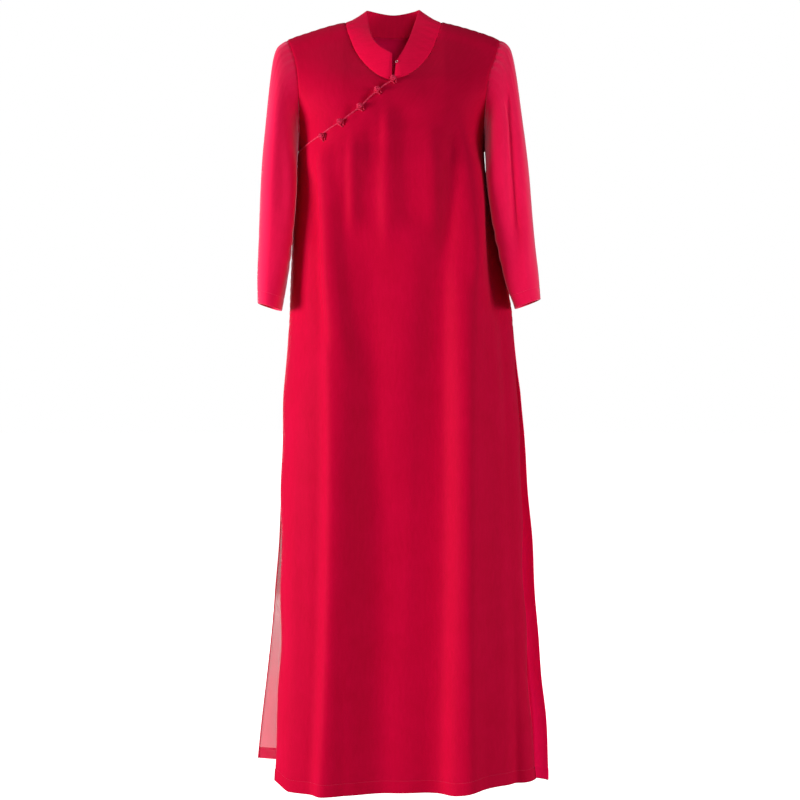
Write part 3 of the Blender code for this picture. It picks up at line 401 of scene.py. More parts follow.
FRONT_CREASES = (
    Fold(-0.195, -0.400, (-0.067, -0.069, -0.069), 0.0066, 0.0052, 0.06, skew=-0.20),
    Fold(-0.145, -0.430, (-0.006, -0.014, -0.008), 0.0078, 0.0035, 0.07, skew=-0.20),
    Fold(-0.175, -0.410, (0.060, 0.067, 0.065), 0.0106, 0.0027, 0.07, skew=0.05),
    Fold(-0.228, -0.360, (-0.122, -0.124, -0.128), 0.0045, 0.0012, 0.05),
    Fold(-0.205, -0.330, (-0.098, -0.096, -0.094), 0.0040, -0.0012, 0.05),
    Fold(-0.185, -0.300, (-0.052, -0.050, -0.050), 0.0040, 0.0010, 0.05),
    Fold(-0.150, -0.290, (-0.024, -0.022, -0.020), 0.0045, -0.0011, 0.05),
    Fold(-0.640, -1.250, (-0.150, -0.156, -0.150), 0.0080, -0.0013, 0.20),
    Fold(-0.760, BELOW_HEM, (-0.176, -0.178, -0.184), 0.0070, 0.0014, 0.22),
    Fold(-0.620, -1.180, (0.030, 0.028, 0.020), 0.0075, 0.0010, 0.20),
    Fold(-0.900, BELOW_HEM, (-0.084, -0.086, -0.080), 0.0080, -0.0012, 0.20),
    Fold(-0.700, -1.300, (0.100, 0.104, 0.112), 0.0080, -0.0012, 0.22),
    Fold(-0.980, BELOW_HEM, (0.224, 0.232, 0.240), 0.0060, 0.0016, 0.15),
)
BACK_FOLDS = (
    Fold(-0.110, -0.420, (-0.098, -0.100, -0.106), 0.016, 0.0040, 0.09),
    Fold(-0.120, -0.430, (0.030, 0.026, 0.020), 0.017, -0.0030, 0.10),
    Fold(-0.130, -0.440, (0.096, 0.100, 0.108), 0.016, 0.0040, 0.09),
    Fold(-0.360, BELOW_HEM, (-0.142, -0.150, -0.168), 0.019, 0.0075, 0.16, crisp=0.4),
    Fold(-0.480, BELOW_HEM, (-0.092, -0.100, -0.112), 0.020, -0.0070, 0.17),
    Fold(-0.440, BELOW_HEM, (-0.036, -0.040, -0.048), 0.021, 0.0070, 0.16, crisp=0.4),
    Fold(-0.580, BELOW_HEM, (0.020, 0.020, 0.024), 0.020, -0.0060, 0.17),
    Fold(-0.420, BELOW_HEM, (0.074, 0.080, 0.094), 0.020, 0.0080, 0.16, crisp=0.4),
    Fold(-0.520, BELOW_HEM, (0.130, 0.140, 0.160), 0.018, -0.0075, 0.16),
    Fold(-0.600, BELOW_HEM, (0.176, 0.190, 0.222), 0.016, 0.0080, 0.16, crisp=0.4),
    Fold(-0.620, BELOW_HEM, (0.196, 0.222, 0.252), 0.014, -0.0150, 0.20),
)
BACK_CREASES = (
    Fold(-0.060, -0.230, (-0.052, -0.056, -0.064), 0.0060, -0.0011, 0.07),
    Fold(-0.070, -0.250, (0.060, 0.062, 0.070), 0.0060, 0.0011, 0.07),
    Fold(-0.250, -0.480, (-0.060, -0.056, -0.050), 0.0070, 0.0012, 0.09),
    Fold(-0.230, -0.470, (0.052, 0.046, 0.044), 0.0070, -0.0012, 0.09),
    Fold(-0.700, -1.260, (-0.190, -0.196, -0.204), 0.0075, 0.0013, 0.20),
    Fold(-0.760, BELOW_HEM, (-0.070, -0.078, -0.080), 0.0080, 0.0013, 0.20),
    Fold(-0.650, -1.220, (0.050, 0.054, 0.058), 0.0080, -0.0012, 0.22),
    Fold(-0.820, BELOW_HEM, (0.112, 0.118, 0.128), 0.0080, 0.0013, 0.20),
)
SLEEVE_FOLDS = (
    Fold(-0.090, -0.430, (0.1970, 0.2050, 0.2160), 0.0090, -0.0125, 0.08),
    Fold(-0.120, -0.500, (0.2150, 0.2190, 0.2280), 0.0070, 0.0035, 0.09),
    Fold(-0.110, -0.400, (-0.1880, -0.1860, -0.1920), 0.0100, -0.0040, 0.09),
)


# ------------------------------------------------------------------------------ grids of points
def unit(vectors: Array) -> Array:
    """Vectors of length 1."""
    return vectors / np.maximum(np.linalg.norm(vectors, axis=-1, keepdims=True), 1e-12)


def coons(top: Array, low: Array, left: Array, right: Array, shares: Array, down: Array) -> Array:
    """Grid of plan points between four edges: both pairs are blended, and the corners taken off.

    Args:
        top: first row, and low the last one.
        low: last row.
        left: first column.
        right: last column.
        shares: place of each column, the same for every row or one set for each.
        down: place of each row.

    Returns:
        Points of shape (rows, columns, 2).
    """
    u = np.broadcast_to(shares, (len(left), len(top)))[..., None]
    v = down[:, None, None]
    across = left[:, None] * (1 - u) + right[:, None] * u
    between = top[None] * (1 - v) + low[None] * v
    corners = (top[0] * (1 - u) + top[-1] * u) * (1 - v) + (low[0] * (1 - u) + low[-1] * u) * v
    return across + between - corners


def line(start: Array, end: Array, shares: Array) -> Array:
    """Points on a straight line at the given shares."""
    return np.outer(1 - shares, start) + np.outer(shares, end)


def normals_of(grid: Array, toward: Array, ring: bool = False) -> Array:
    """Unit normals of a grid, turned to face the given way.

    Args:
        grid: points of shape (rows, columns, 3).
        toward: a vector, or one for each point, that the normals should point along.
        ring: True where the last column joins the first.

    Returns:
        One normal for each point.
    """
    if ring:
        along = np.roll(grid, -1, axis=1) - np.roll(grid, 1, axis=1)
    else:
        along = np.gradient(grid, axis=1)
    normal = unit(np.cross(along, np.gradient(grid, axis=0)))
    return normal * np.sign(np.sum(normal * toward))


def run_along(grid: Array, axis: int) -> Array:
    """Distance of each point from the start of its grid line.

    Args:
        grid: points of shape (rows, columns, 3).
        axis: 0 down the columns of the grid, 1 along its rows.

    Returns:
        One distance for each point.
    """
    steps = np.linalg.norm(np.diff(grid, axis=axis), axis=-1)
    pad = [(0, 0), (0, 0)]
    pad[axis] = (1, 0)
    return np.cumsum(np.pad(steps, pad), axis=axis)


def edge_distances(grid: Array) -> dict[str, Array]:
    """Distance of each point of a grid from its four edges, along the grid's lines."""
    across, down = run_along(grid, 1), run_along(grid, 0)
    return {"left": across, "right": across[:, -1:] - across, "top": down, "low": down[-1:] - down}


def turn_under(grid: Array, normals: Array, count: int, radius: float, layer: Array) -> tuple[Array, Array]:
    """Rows added past the last one, folded under the cloth along its edge.

    The cloth goes round a half circle at its edge and then lies two radii under its own last rows.

    Args:
        grid: points of shape (rows, columns, 3).
        normals: outward normals of the points.
        count: how many of the last rows the turned cloth lies under.
        radius: radius of the fold.
        layer: how many radii under the cloth it lies, one value for each column.

    Returns:
        The longer grid and its normals.
    """
    edge, normal = grid[-1], normals[-1]
    out = unit(grid[-1] - grid[-2])
    angles = np.linspace(0, np.pi, 5)[1:-1, None, None]
    reach = layer[:, None] * radius / 2
    fold = edge + out * radius * np.sin(angles) - normal * reach * (1 - np.cos(angles))
    fold_normals = np.broadcast_to(normal, fold.shape) * np.cos(angles) + out * np.sin(angles)
    under = (grid - normals * layer[:, None] * radius)[-1:-count - 2:-1]
    return np.concatenate([grid, fold, under]), np.concatenate([normals, fold_normals, -normals[-1:-count - 2:-1]])


def finish_edges(grid: Array, normals: Array, hem_rows: int, radius: float, left: float, right: float) -> Array:
    """Panel with its hem turned up inside and both side edges turned under.

    Over the hem the side edges go round both layers of cloth.

    Args:
        grid: points of the panel.
        normals: outward normals of the points.
        hem_rows: how many of the last rows the hem lies under.
        radius: radius of each fold.
        left: width turned under at the left edge.
        right: width turned under at the right edge.

    Returns:
        The longer grid.
    """
    rows = len(grid)
    grid, normals = turn_under(grid, normals, hem_rows, radius, np.full(grid.shape[1], 2.0))
    doubled = np.arange(len(grid)) > rows - hem_rows - 2
    layer = 2.0 + 2.0 * doubled
    for width in (right, left):
        near = edge_distances(grid[rows // 2:rows])["right"].mean(axis=0)
        count = int(np.sum(near < width)) - 1
        grid, normals = (swap(part) for part in turn_under(swap(grid), swap(normals), count, radius, layer))
        grid, normals = grid[:, ::-1], normals[:, ::-1]
    return grid


def swap(grid: Array) -> Array:
    """Grid with its rows and columns changed over."""
    return np.swapaxes(grid, 0, 1)


@dataclass
class Surface:
    """Grid of points with what a mesh needs of it.

    Attributes:
        grid: points of shape (rows, columns, 3).
        ring: True where the last column joins the first.
    """

    grid: Array
    ring: bool = False

    def mesh(self, name: str) -> bpy.types.Object:
        """Object of the grid's quads, with a UV map in metres along the cloth's two directions.

        Args:
            name: name of the object.

        Returns:
            The new object.
        """
        rows, columns = self.grid.shape[:2]
        steps = columns if self.ring else columns - 1
        r, c = np.meshgrid(np.arange(rows - 1), np.arange(steps), indexing="ij")
        d = c + 1
        corner_rows = np.stack([r, r, r + 1, r + 1], axis=-1).reshape(-1, 4)
        corner_columns = np.stack([c, d, d, c], axis=-1).reshape(-1, 4)
        faces = corner_rows * columns + corner_columns % columns
        data = bpy.data.meshes.new(name)
        data.from_pydata(self.grid.reshape(-1, 3).tolist(), [], faces.tolist())
        closed = np.concatenate([self.grid, self.grid[:, :1]], axis=1) if self.ring else self.grid
        across = run_along(closed, 1)
        across = across - across.mean(axis=1, keepdims=True)
        down = np.broadcast_to(run_along(closed, 0).mean(axis=1)[:, None], across.shape)
        chart = np.stack([across, down], axis=-1)[corner_rows, corner_columns]
        data.uv_layers.new(name="cloth").data.foreach_set("uv", chart.reshape(-1))
        data.shade_smooth()
        item = bpy.data.objects.new(name, data)
        bpy.context.scene.collection.objects.link(item)
        return item


def joined(name: str, surfaces: list[tuple[Array, bool, bool]]) -> bpy.types.Object:
    """One object of several small grids, each a tube or a ball with closed ends.

    Args:
        name: name of the object.
        surfaces: for each grid, its points, whether its rows close on themselves, and whether its
            ends are drawn together to a point.

    Returns:
        The new object.
    """
    points, faces, quads_uv = [], [], []
    start = 0
    for grid, loop, capped in surfaces:
        rows, columns = grid.shape[:2]
        steps = rows if loop else rows - 1
        r, c = np.meshgrid(np.arange(steps), np.arange(columns), indexing="ij")
        corner_rows = np.stack([r, r, r + 1, r + 1], axis=-1).reshape(-1, 4)
        corner_columns = np.stack([c, c + 1, c + 1, c], axis=-1).reshape(-1, 4)
        block = corner_rows % rows * columns + corner_columns % columns + start
        faces += block.tolist()
        length = np.concatenate([[0.0], np.cumsum(np.linalg.norm(np.diff(grid.mean(axis=1), axis=0), axis=-1))])
        length = np.append(length, length[-1] + (length[-1] - length[-2] if rows > 1 else 0.0))
        girth = np.linalg.norm(grid[:, 0] - grid.mean(axis=1), axis=-1).max() * 2 * np.pi / columns
        quads_uv.append(np.stack([corner_columns * girth, length[corner_rows]], axis=-1).reshape(-1, 2))
        points.append(grid.reshape(-1, 3))
        start += rows * columns
        if capped:
            for row, turned in ((0, False), (rows - 1, True)):
                ring = start - rows * columns + row * columns + np.arange(columns)
                points.append(grid[row].mean(axis=0, keepdims=True))
                after = np.roll(ring, -1)
                pair = (ring, after) if turned else (after, ring)
                cap = np.stack([*pair, np.full(columns, start)], axis=-1)
                faces += cap.tolist()
                quads_uv.append(np.zeros((columns * 3, 2)))
                start += 1
    data = bpy.data.meshes.new(name)
    data.from_pydata(np.concatenate(points).tolist(), [], faces)
    data.uv_layers.new(name="cloth").data.foreach_set("uv", np.concatenate(quads_uv).reshape(-1))
    data.shade_smooth()
    item = bpy.data.objects.new(name, data)
    bpy.context.scene.collection.objects.link(item)
    return item


def tube(path: Array, radius: Array | float, sides: int, up: Array, loop: bool = False, flat: float = 1.0) -> Array:
    """Tube along a path: at each point a circle square to the path, its first radius nearest to up.

    Args:
        path: points of shape (count, 3).
        radius: one radius, or one for each point.
        sides: points round the tube.
        up: a vector, or one for each point, that settles how the circles are turned.
        loop: True where the path closes on itself.
        flat: height along up as a share of the width.

    Returns:
        Points of shape (count, sides, 3).
    """
    if loop:
        along = np.roll(path, -1, axis=0) - np.roll(path, 1, axis=0)
    else:
        along = np.gradient(path, axis=0)
    along = unit(along)
    up = np.broadcast_to(up, path.shape)
    side = unit(np.cross(along, up))
    above = np.cross(side, along)
    turn = np.linspace(0, 2 * np.pi, sides, endpoint=False)[None, :, None]
    radius = np.broadcast_to(radius, len(path))[:, None, None]
    return path[:, None] + radius * (side[:, None] * np.cos(turn) + above[:, None] * np.sin(turn) * flat)


def resampled(path: Array, count: int) -> Array:
    """The path again with count points, evenly spaced along it.

    Args:
        path: points of shape (any, 3).
        count: number of points.

    Returns:
        Points of shape (count, 3).
    """
    run = np.concatenate([[0.0], np.cumsum(np.linalg.norm(np.diff(path, axis=0), axis=-1))])
    at = np.linspace(0, run[-1], count)
    return np.stack([np.interp(at, run, path[:, k]) for k in range(3)], axis=-1)


# ------------------------------------------------------------------------------ finishes
def linear(code: str) -> tuple[float, float, float, float]:
    """Linear colour of an sRGB hex value such as "c01030"."""
    parts = [int(code[k:k + 2], 16) / 255 for k in (0, 2, 4)]
    return (*[v / 12.92 if v <= 0.04045 else ((v + 0.055) / 1.055) ** 2.4 for v in parts], 1.0)


class Nodes:
    """Node tree of one material, with its Principled shader."""

    def __init__(self, name: str) -> None:
        """Start a material of this name.

        Args:
            name: name of the material.
        """
        self.material = bpy.data.materials.new(name)
        self.material.use_nodes = True
        self.tree = self.material.node_tree
        self.shader = self.tree.nodes["Principled BSDF"]

    def add(self, kind: str, links: dict[str, object] | None = None, **settings: object) -> bpy.types.Node:
        """Add a node with its settings, and link or set its inputs.

        Args:
            kind: Blender's name for the node type.
            links: for each input name or number, an output socket to link or a plain value.
            settings: attributes of the node.

        Returns:
            The new node.
        """
        node = self.tree.nodes.new(kind)
        for key, value in settings.items():
            setattr(node, key, value)
        for key, value in (links or {}).items():
            if isinstance(value, bpy.types.NodeSocket):
                self.tree.links.new(value, node.inputs[key])
            else:
                node.inputs[key].default_value = value
        return node

    def blend(self, share: bpy.types.NodeSocket, dark: str, light: str) -> bpy.types.NodeSocket:
        """Mix two colours.

        Args:
            share: output that is 0 for the dark colour and 1 for the light one.
            dark: sRGB hex value.
            light: sRGB hex value.

        Returns:
            The mixed colour.
        """
        factor, first, second, result = 0, 6, 7, 2
        links = {factor: share, first: linear(dark), second: linear(light)}
        return self.add("ShaderNodeMix", links, data_type="RGBA").outputs[result]

    def drive(self, socket: str, output: bpy.types.NodeSocket) -> None:
        """Link an output to one of the shader's sockets."""
        self.tree.links.new(output, self.shader.inputs[socket])

    def settle(self, **values: object) -> None:
        """Set plain values on the shader's sockets, with _ for a space in their names."""
        for key, value in values.items():
            self.shader.inputs[key.replace("_", " ")].default_value = value


@dataclass(frozen=True)
class CrepeFinish:
    """Woven polyester crepe: dyed through, matt, with a pebbled face and a faint pink bloom.

    Hard-twisted threads make the pebble, and the loose fibre ends give the sheen at a low angle.
    The real threads are about 0.25 mm apart, too fine to show, so they are drawn thread_mm apart.
    """

    name: str
    light: str
    dark: str
    bloom: str = "ff7a9c"
    roughness: float = 0.66
    sheen: float = 0.25
    opacity: float = 1.0
    lined_from: float = -0.52
    faced_from: float = 0.195
    thread_mm: float = 0.9
    pebble_mm: float = 2.2
    slub_mm: float = 5.0
    cloud_mm: float = 60.0
    relief_mm: float = 0.10

    def material(self) -> bpy.types.Material:
        """Build the material.

        Returns:
            The new material.
        """
        nodes = Nodes(self.name)
        chart = nodes.add("ShaderNodeUVMap", uv_map="cloth").outputs["UV"]
        per_mm = 1.0 / MM
        yarn = {"Vector": chart, "Scale": per_mm / self.thread_mm / WAVE_BANDS, "Distortion": 1.2,
                "Detail": 1.0, "Detail Scale": 3.0}
        warp = nodes.add("ShaderNodeTexWave", yarn, wave_type="BANDS", bands_direction="X")
        weft = nodes.add("ShaderNodeTexWave", yarn, wave_type="BANDS", bands_direction="Y")
        threads = nodes.add("ShaderNodeMath", {0: warp.outputs["Fac"], 1: weft.outputs["Fac"]}, operation="MULTIPLY")
        pebble = nodes.add("ShaderNodeTexNoise", {"Vector": chart, "Scale": per_mm / self.pebble_mm,
                                                  "Detail": 2.0, "Roughness": 0.6})
        stretched = nodes.add("ShaderNodeMapping", {"Vector": chart, "Scale": (1.0, 0.22, 1.0)})
        slubs = nodes.add("ShaderNodeTexNoise", {"Vector": stretched.outputs["Vector"],
                                                 "Scale": per_mm / self.slub_mm, "Detail": 2.0})
        clouds = nodes.add("ShaderNodeTexNoise", {"Vector": chart, "Scale": per_mm / self.cloud_mm, "Detail": 3.0})
        tone = nodes.add("ShaderNodeMath", {0: slubs.outputs["Fac"], 1: clouds.outputs["Fac"]}, operation="ADD")
        tone = nodes.add("ShaderNodeMath", {0: tone.outputs["Value"], 1: pebble.outputs["Fac"]}, operation="ADD")
        blend = nodes.add("ShaderNodeMapRange", {"Value": tone.outputs["Value"], "From Min": 1.05, "From Max": 1.95})
        nodes.drive("Base Color", nodes.blend(blend.outputs["Result"], self.dark, self.light))
        rough = nodes.add("ShaderNodeMapRange", {"Value": pebble.outputs["Fac"], "To Min": self.roughness - 0.06,
                                                 "To Max": self.roughness + 0.08})
        nodes.drive("Roughness", rough.outputs["Result"])
        height = nodes.add("ShaderNodeMath", {0: threads.outputs["Value"], 1: 0.45, 2: pebble.outputs["Fac"]},
                           operation="MULTIPLY_ADD")
        relief = nodes.add("ShaderNodeBump", {"Height": height.outputs["Value"], "Strength": 0.8,
                                              "Distance": self.relief_mm * MM})
        nodes.drive("Normal", relief.outputs["Normal"])
        nodes.settle(Metallic=0.0, IOR=1.45, Specular_IOR_Level=0.05, Sheen_Weight=self.sheen,
                     Sheen_Roughness=0.45, Sheen_Tint=linear(self.bloom))
        if self.opacity < 1.0:
            place = nodes.add("ShaderNodeTexCoord").outputs["Object"]
            axes = nodes.add("ShaderNodeSeparateXYZ", {0: place}).outputs
            lined = nodes.add("ShaderNodeMapRange", {"Value": axes["Z"], "From Min": self.lined_from - 0.06,
                                                     "From Max": self.lined_from, "To Min": self.opacity,
                                                     "To Max": 1.0})
            faced = nodes.add("ShaderNodeMapRange", {"Value": axes["X"], "From Min": self.faced_from - 0.03,
                                                     "From Max": self.faced_from, "To Min": self.opacity,
                                                     "To Max": 1.0})
            closed = nodes.add("ShaderNodeMath", {0: lined.outputs["Result"], 1: faced.outputs["Result"]},
                               operation="MAXIMUM")
            nodes.drive("Alpha", closed.outputs["Value"])
        return nodes.material


@dataclass(frozen=True)
class CordFinish:
    """Crepe cut on the bias and rolled into a cord: a diagonal twist shows along it."""

    name: str
    light: str
    dark: str
    twist_mm: float = 1.1
    relief_mm: float = 0.12

    def material(self) -> bpy.types.Material:
        """Build the material.

        Returns:
            The new material.
        """
        nodes = Nodes(self.name)
        chart = nodes.add("ShaderNodeUVMap", uv_map="cloth").outputs["UV"]
        turned = nodes.add("ShaderNodeMapping", {"Vector": chart, "Rotation": (0.0, 0.0, math.radians(35))})
        twist = nodes.add("ShaderNodeTexWave", {"Vector": turned.outputs["Vector"],
                                                "Scale": 1 / MM / self.twist_mm / WAVE_BANDS,
                                                "Distortion": 0.6, "Detail": 1.0},
                          wave_type="BANDS", bands_direction="Y")
        grain = nodes.add("ShaderNodeTexNoise", {"Vector": chart, "Scale": 1 / MM / 1.4, "Detail": 2.0})
        mixed = nodes.add("ShaderNodeMath", {0: twist.outputs["Fac"], 1: 0.5, 2: grain.outputs["Fac"]},
                          operation="MULTIPLY_ADD")
        blend = nodes.add("ShaderNodeMapRange", {"Value": mixed.outputs["Value"], "From Min": 0.35, "From Max": 1.1})
        nodes.drive("Base Color", nodes.blend(blend.outputs["Result"], self.dark, self.light))
        relief = nodes.add("ShaderNodeBump", {"Height": mixed.outputs["Value"], "Strength": 0.9,
                                              "Distance": self.relief_mm * MM})
        nodes.drive("Normal", relief.outputs["Normal"])
        nodes.settle(Roughness=0.55, IOR=1.45, Specular_IOR_Level=0.35, Sheen_Weight=0.25,
                     Sheen_Roughness=0.4, Sheen_Tint=linear("ff9ab4"))
        return nodes.material


@dataclass(frozen=True)
class WireFinish:
    """Nickel-plated brass wire: bright, with faint drawing marks along it."""

    name: str = "nickel_plated_wire"
    colour: str = "d8cfcf"

    def material(self) -> bpy.types.Material:
        """Build the material.

        Returns:
            The new material.
        """
        nodes = Nodes(self.name)
        place = nodes.add("ShaderNodeTexCoord").outputs["Object"]
        marks = nodes.add("ShaderNodeTexNoise", {"Vector": place, "Scale": 1 / MM / 0.6, "Detail": 2.0})
        rough = nodes.add("ShaderNodeMapRange", {"Value": marks.outputs["Fac"], "To Min": 0.22, "To Max": 0.42})
        nodes.drive("Roughness", rough.outputs["Result"])
        nodes.settle(Base_Color=linear(self.colour), Metallic=1.0)
        return nodes.material


@dataclass(frozen=True)
class FloorFinish:
    """Seamless white paper: matt, lifted a little so that it reads as plain studio white."""

    name: str = "seamless_paper"
    light: str = "b0b0ae"
    dark: str = "a8a8a6"
    lift: float = 1.20

    def material(self) -> bpy.types.Material:
        """Build the material.

        Returns:
            The new material.
        """
        nodes = Nodes(self.name)
        place = nodes.add("ShaderNodeTexCoord").outputs["Object"]
        fibre = nodes.add("ShaderNodeTexNoise", {"Vector": place, "Scale": 220.0, "Detail": 3.0})
        nodes.drive("Base Color", nodes.blend(fibre.outputs["Fac"], self.dark, self.light))
        nodes.settle(Roughness=0.85, Specular_IOR_Level=0.1, Emission_Color=(1.0, 1.0, 1.0, 1.0))
        seen = nodes.add("ShaderNodeLightPath").outputs["Is Camera Ray"]
        nodes.drive("Emission Strength", nodes.add("ShaderNodeMath", {0: seen, 1: self.lift},
                                                   operation="MULTIPLY").outputs["Value"])
        return nodes.material


CREPE = CrepeFinish("polyester_crepe", light="de013e", dark="d20035")
# Painted light: the sleeves' crepe is the body's crepe painted lighter and pinker, standing for the light that falls on
# the sleeves.
UNLINED_CREPE_PAINTED_LIGHTER = CrepeFinish("unlined_crepe_painted_lighter", light="e60a4a", dark="dc0542", bloom="ffa8c0", sheen=0.75)
# Painted light: the see-through georgette's colour is painted brighter than the body's crepe, standing for light coming
# through the thin cloth; its see-through alpha is real.
SHEER_CREPE_PAINTED_BRIGHTER = CrepeFinish("sheer_georgette_painted_brighter", light="ff0c58", dark="f6064e", sheen=0.06, opacity=0.64)
# Painted light: the collar's crepe is the body's crepe painted lighter, standing for the light on the collar.
COLLAR_CREPE_PAINTED_LIGHTER = CrepeFinish("interlined_crepe_painted_lighter", light="ec0844", dark="de033a", relief_mm=0.07)
# Painted light: the knots' and loops' cord is the crepe painted lighter and pinker, standing for the highlights on the
# round knots.
KNOT_CORD_PAINTED_LIGHTER = CordFinish("rolled_crepe_cord_painted_lighter", light="f22c60", dark="d00c40")
# Painted highlight: the edge cord is the crepe painted lighter still, standing for the light along the raised cord.
EDGE_CORD_PAINTED_HIGHLIGHT = CordFinish("piped_crepe_edge_painted_highlight", light="f63c6c", dark="e01848")
HEM_THREAD = CordFinish("sewing_thread", light="ee3a68", dark="d82050", twist_mm=0.5)


# ------------------------------------------------------------------------------ cloth pieces
@dataclass
class SeamLine:
    """How a sewn edge shapes the cloth beside it.

    The edge dips into the seam, and the stitches draw the cloth into small waves that die away.
    """

    dip: float = 0.0009
    dip_width: float = 0.0016
    pucker: float = 0.00035
    pucker_width: float = 0.0065
    pucker_step: float = 0.0155
    end: float = 0.02

    def rise(self, distance: Array, run: Array) -> Array:
        """Lift beside the seam.

        Args:
            distance: how far each point is from the seam.
            run: how far along the seam each point is.

        Returns:
            Lift off the cloth at each point.
        """
        waves = np.sin(2 * np.pi * run / self.pucker_step + 1.9 * np.sin(run / 0.037))
        return -self.dip * bump(distance, self.dip_width) + self.pucker * waves * bump(distance, self.pucker_width)


SEAM = SeamLine()


@dataclass
class ClothPiece:
    """A cut piece of cloth: a thin wall on the form of its solid.

    Attributes:
        name: name of the piece in the scene.
        node: solid that it stands for.
        slot: material slot of the piece; not used.
        finish: its finish.
        flat: width and length of the cut, in metres; not used.
        cut_area: flat area of the cut, in square metres; not used.
        rests_on: solids that hold it up; not used.
        held: how it is held; not used.
        wall: thickness of the cloth.
        fold_radius: radius of the fold at a turned edge.
        grid: points of its outer face, row by row.
    """

    name: str
    node: str
    slot: str
    finish: CrepeFinish
    flat: tuple[float, float]
    cut_area: float
    rests_on: tuple[str, ...] = ()
    held: str = "draped"
    wall: float = 0.0007
    fold_radius: float = 0.0005
    grid: Array = field(default=None, repr=False)

    def dress(self, surface: Surface, materials: dict[str, bpy.types.Material]) -> bpy.types.Object:
        """Args:
            surface: finished surface of the piece.
            materials: finished materials by name.

        Returns:
            The new object.
        """
        item = surface.mesh(self.name)
        item.data.materials.append(materials[self.finish.name])
        wall = item.modifiers.new("wall", "SOLIDIFY")
        wall.thickness = self.wall
        wall.offset = 0.0
        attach(item, "root")
        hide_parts(self.node)
        LOG.info("%s: %d faces, %.3f square metres", self.name, len(item.data.polygons),
                 sum(face.area for face in item.data.polygons))
        return item


@dataclass
class Flutter:
    """Slow waves of a free edge, in and out of the panel's face."""

    height: float = 0.0012
    width: float = 0.020
    step: float = 0.17
    start: float = SLIT_TOP
    fade: float = 0.15

    def rise(self, distance: Array, z: Array, phase: float) -> Array:
        """Lift near a slit edge."""
        return (self.height * np.sin(2 * np.pi * z / self.step + phase) * bump(distance, self.width)
                * ease((self.start - z) / self.fade))


FLUTTER = Flutter()


def ripple(x: Array, z: Array, phase: float) -> Array:
    """Faint unevenness of hanging cloth: three slow waves across one another, under 1 mm high."""
    return (0.00035 * np.sin(x / 0.0135 + 2.1 * np.sin(z / 0.19 + phase) + phase)
            + 0.00030 * np.sin(x / 0.0230 - z / 0.11 + 2.3 * phase)
            + 0.00025 * np.sin(z / 0.031 + 3.0 * np.sin(x / 0.06 + phase)))


@dataclass
class Hem:
    """Turned hem: the cloth folded up inside and caught by one line of stitches."""

    depth: float = 0.0200
    rows: int = 12
    groove: float = 0.00045
    groove_width: float = 0.0011

    def rise(self, distance: Array) -> Array:
        """Shallow groove along the line of stitches."""
        return -self.groove * bump(distance - self.depth, self.groove_width)

    def shares(self, length: float, step: float) -> Array:
        """Places of the rows down a panel: even steps, then finer ones over the hem.

        Args:
            length: length of the panel.
            step: length of a step above the hem.

        Returns:
            One share for each row, from 0 to 1.
        """
        above = max(2, round((length - self.depth * 1.2) / step))
        upper = np.linspace(0, 1 - self.depth * 1.2 / length, above + 1)
        return np.concatenate([upper, np.linspace(upper[-1], 1, self.rows + 3)[1:]])


HEM = Hem()


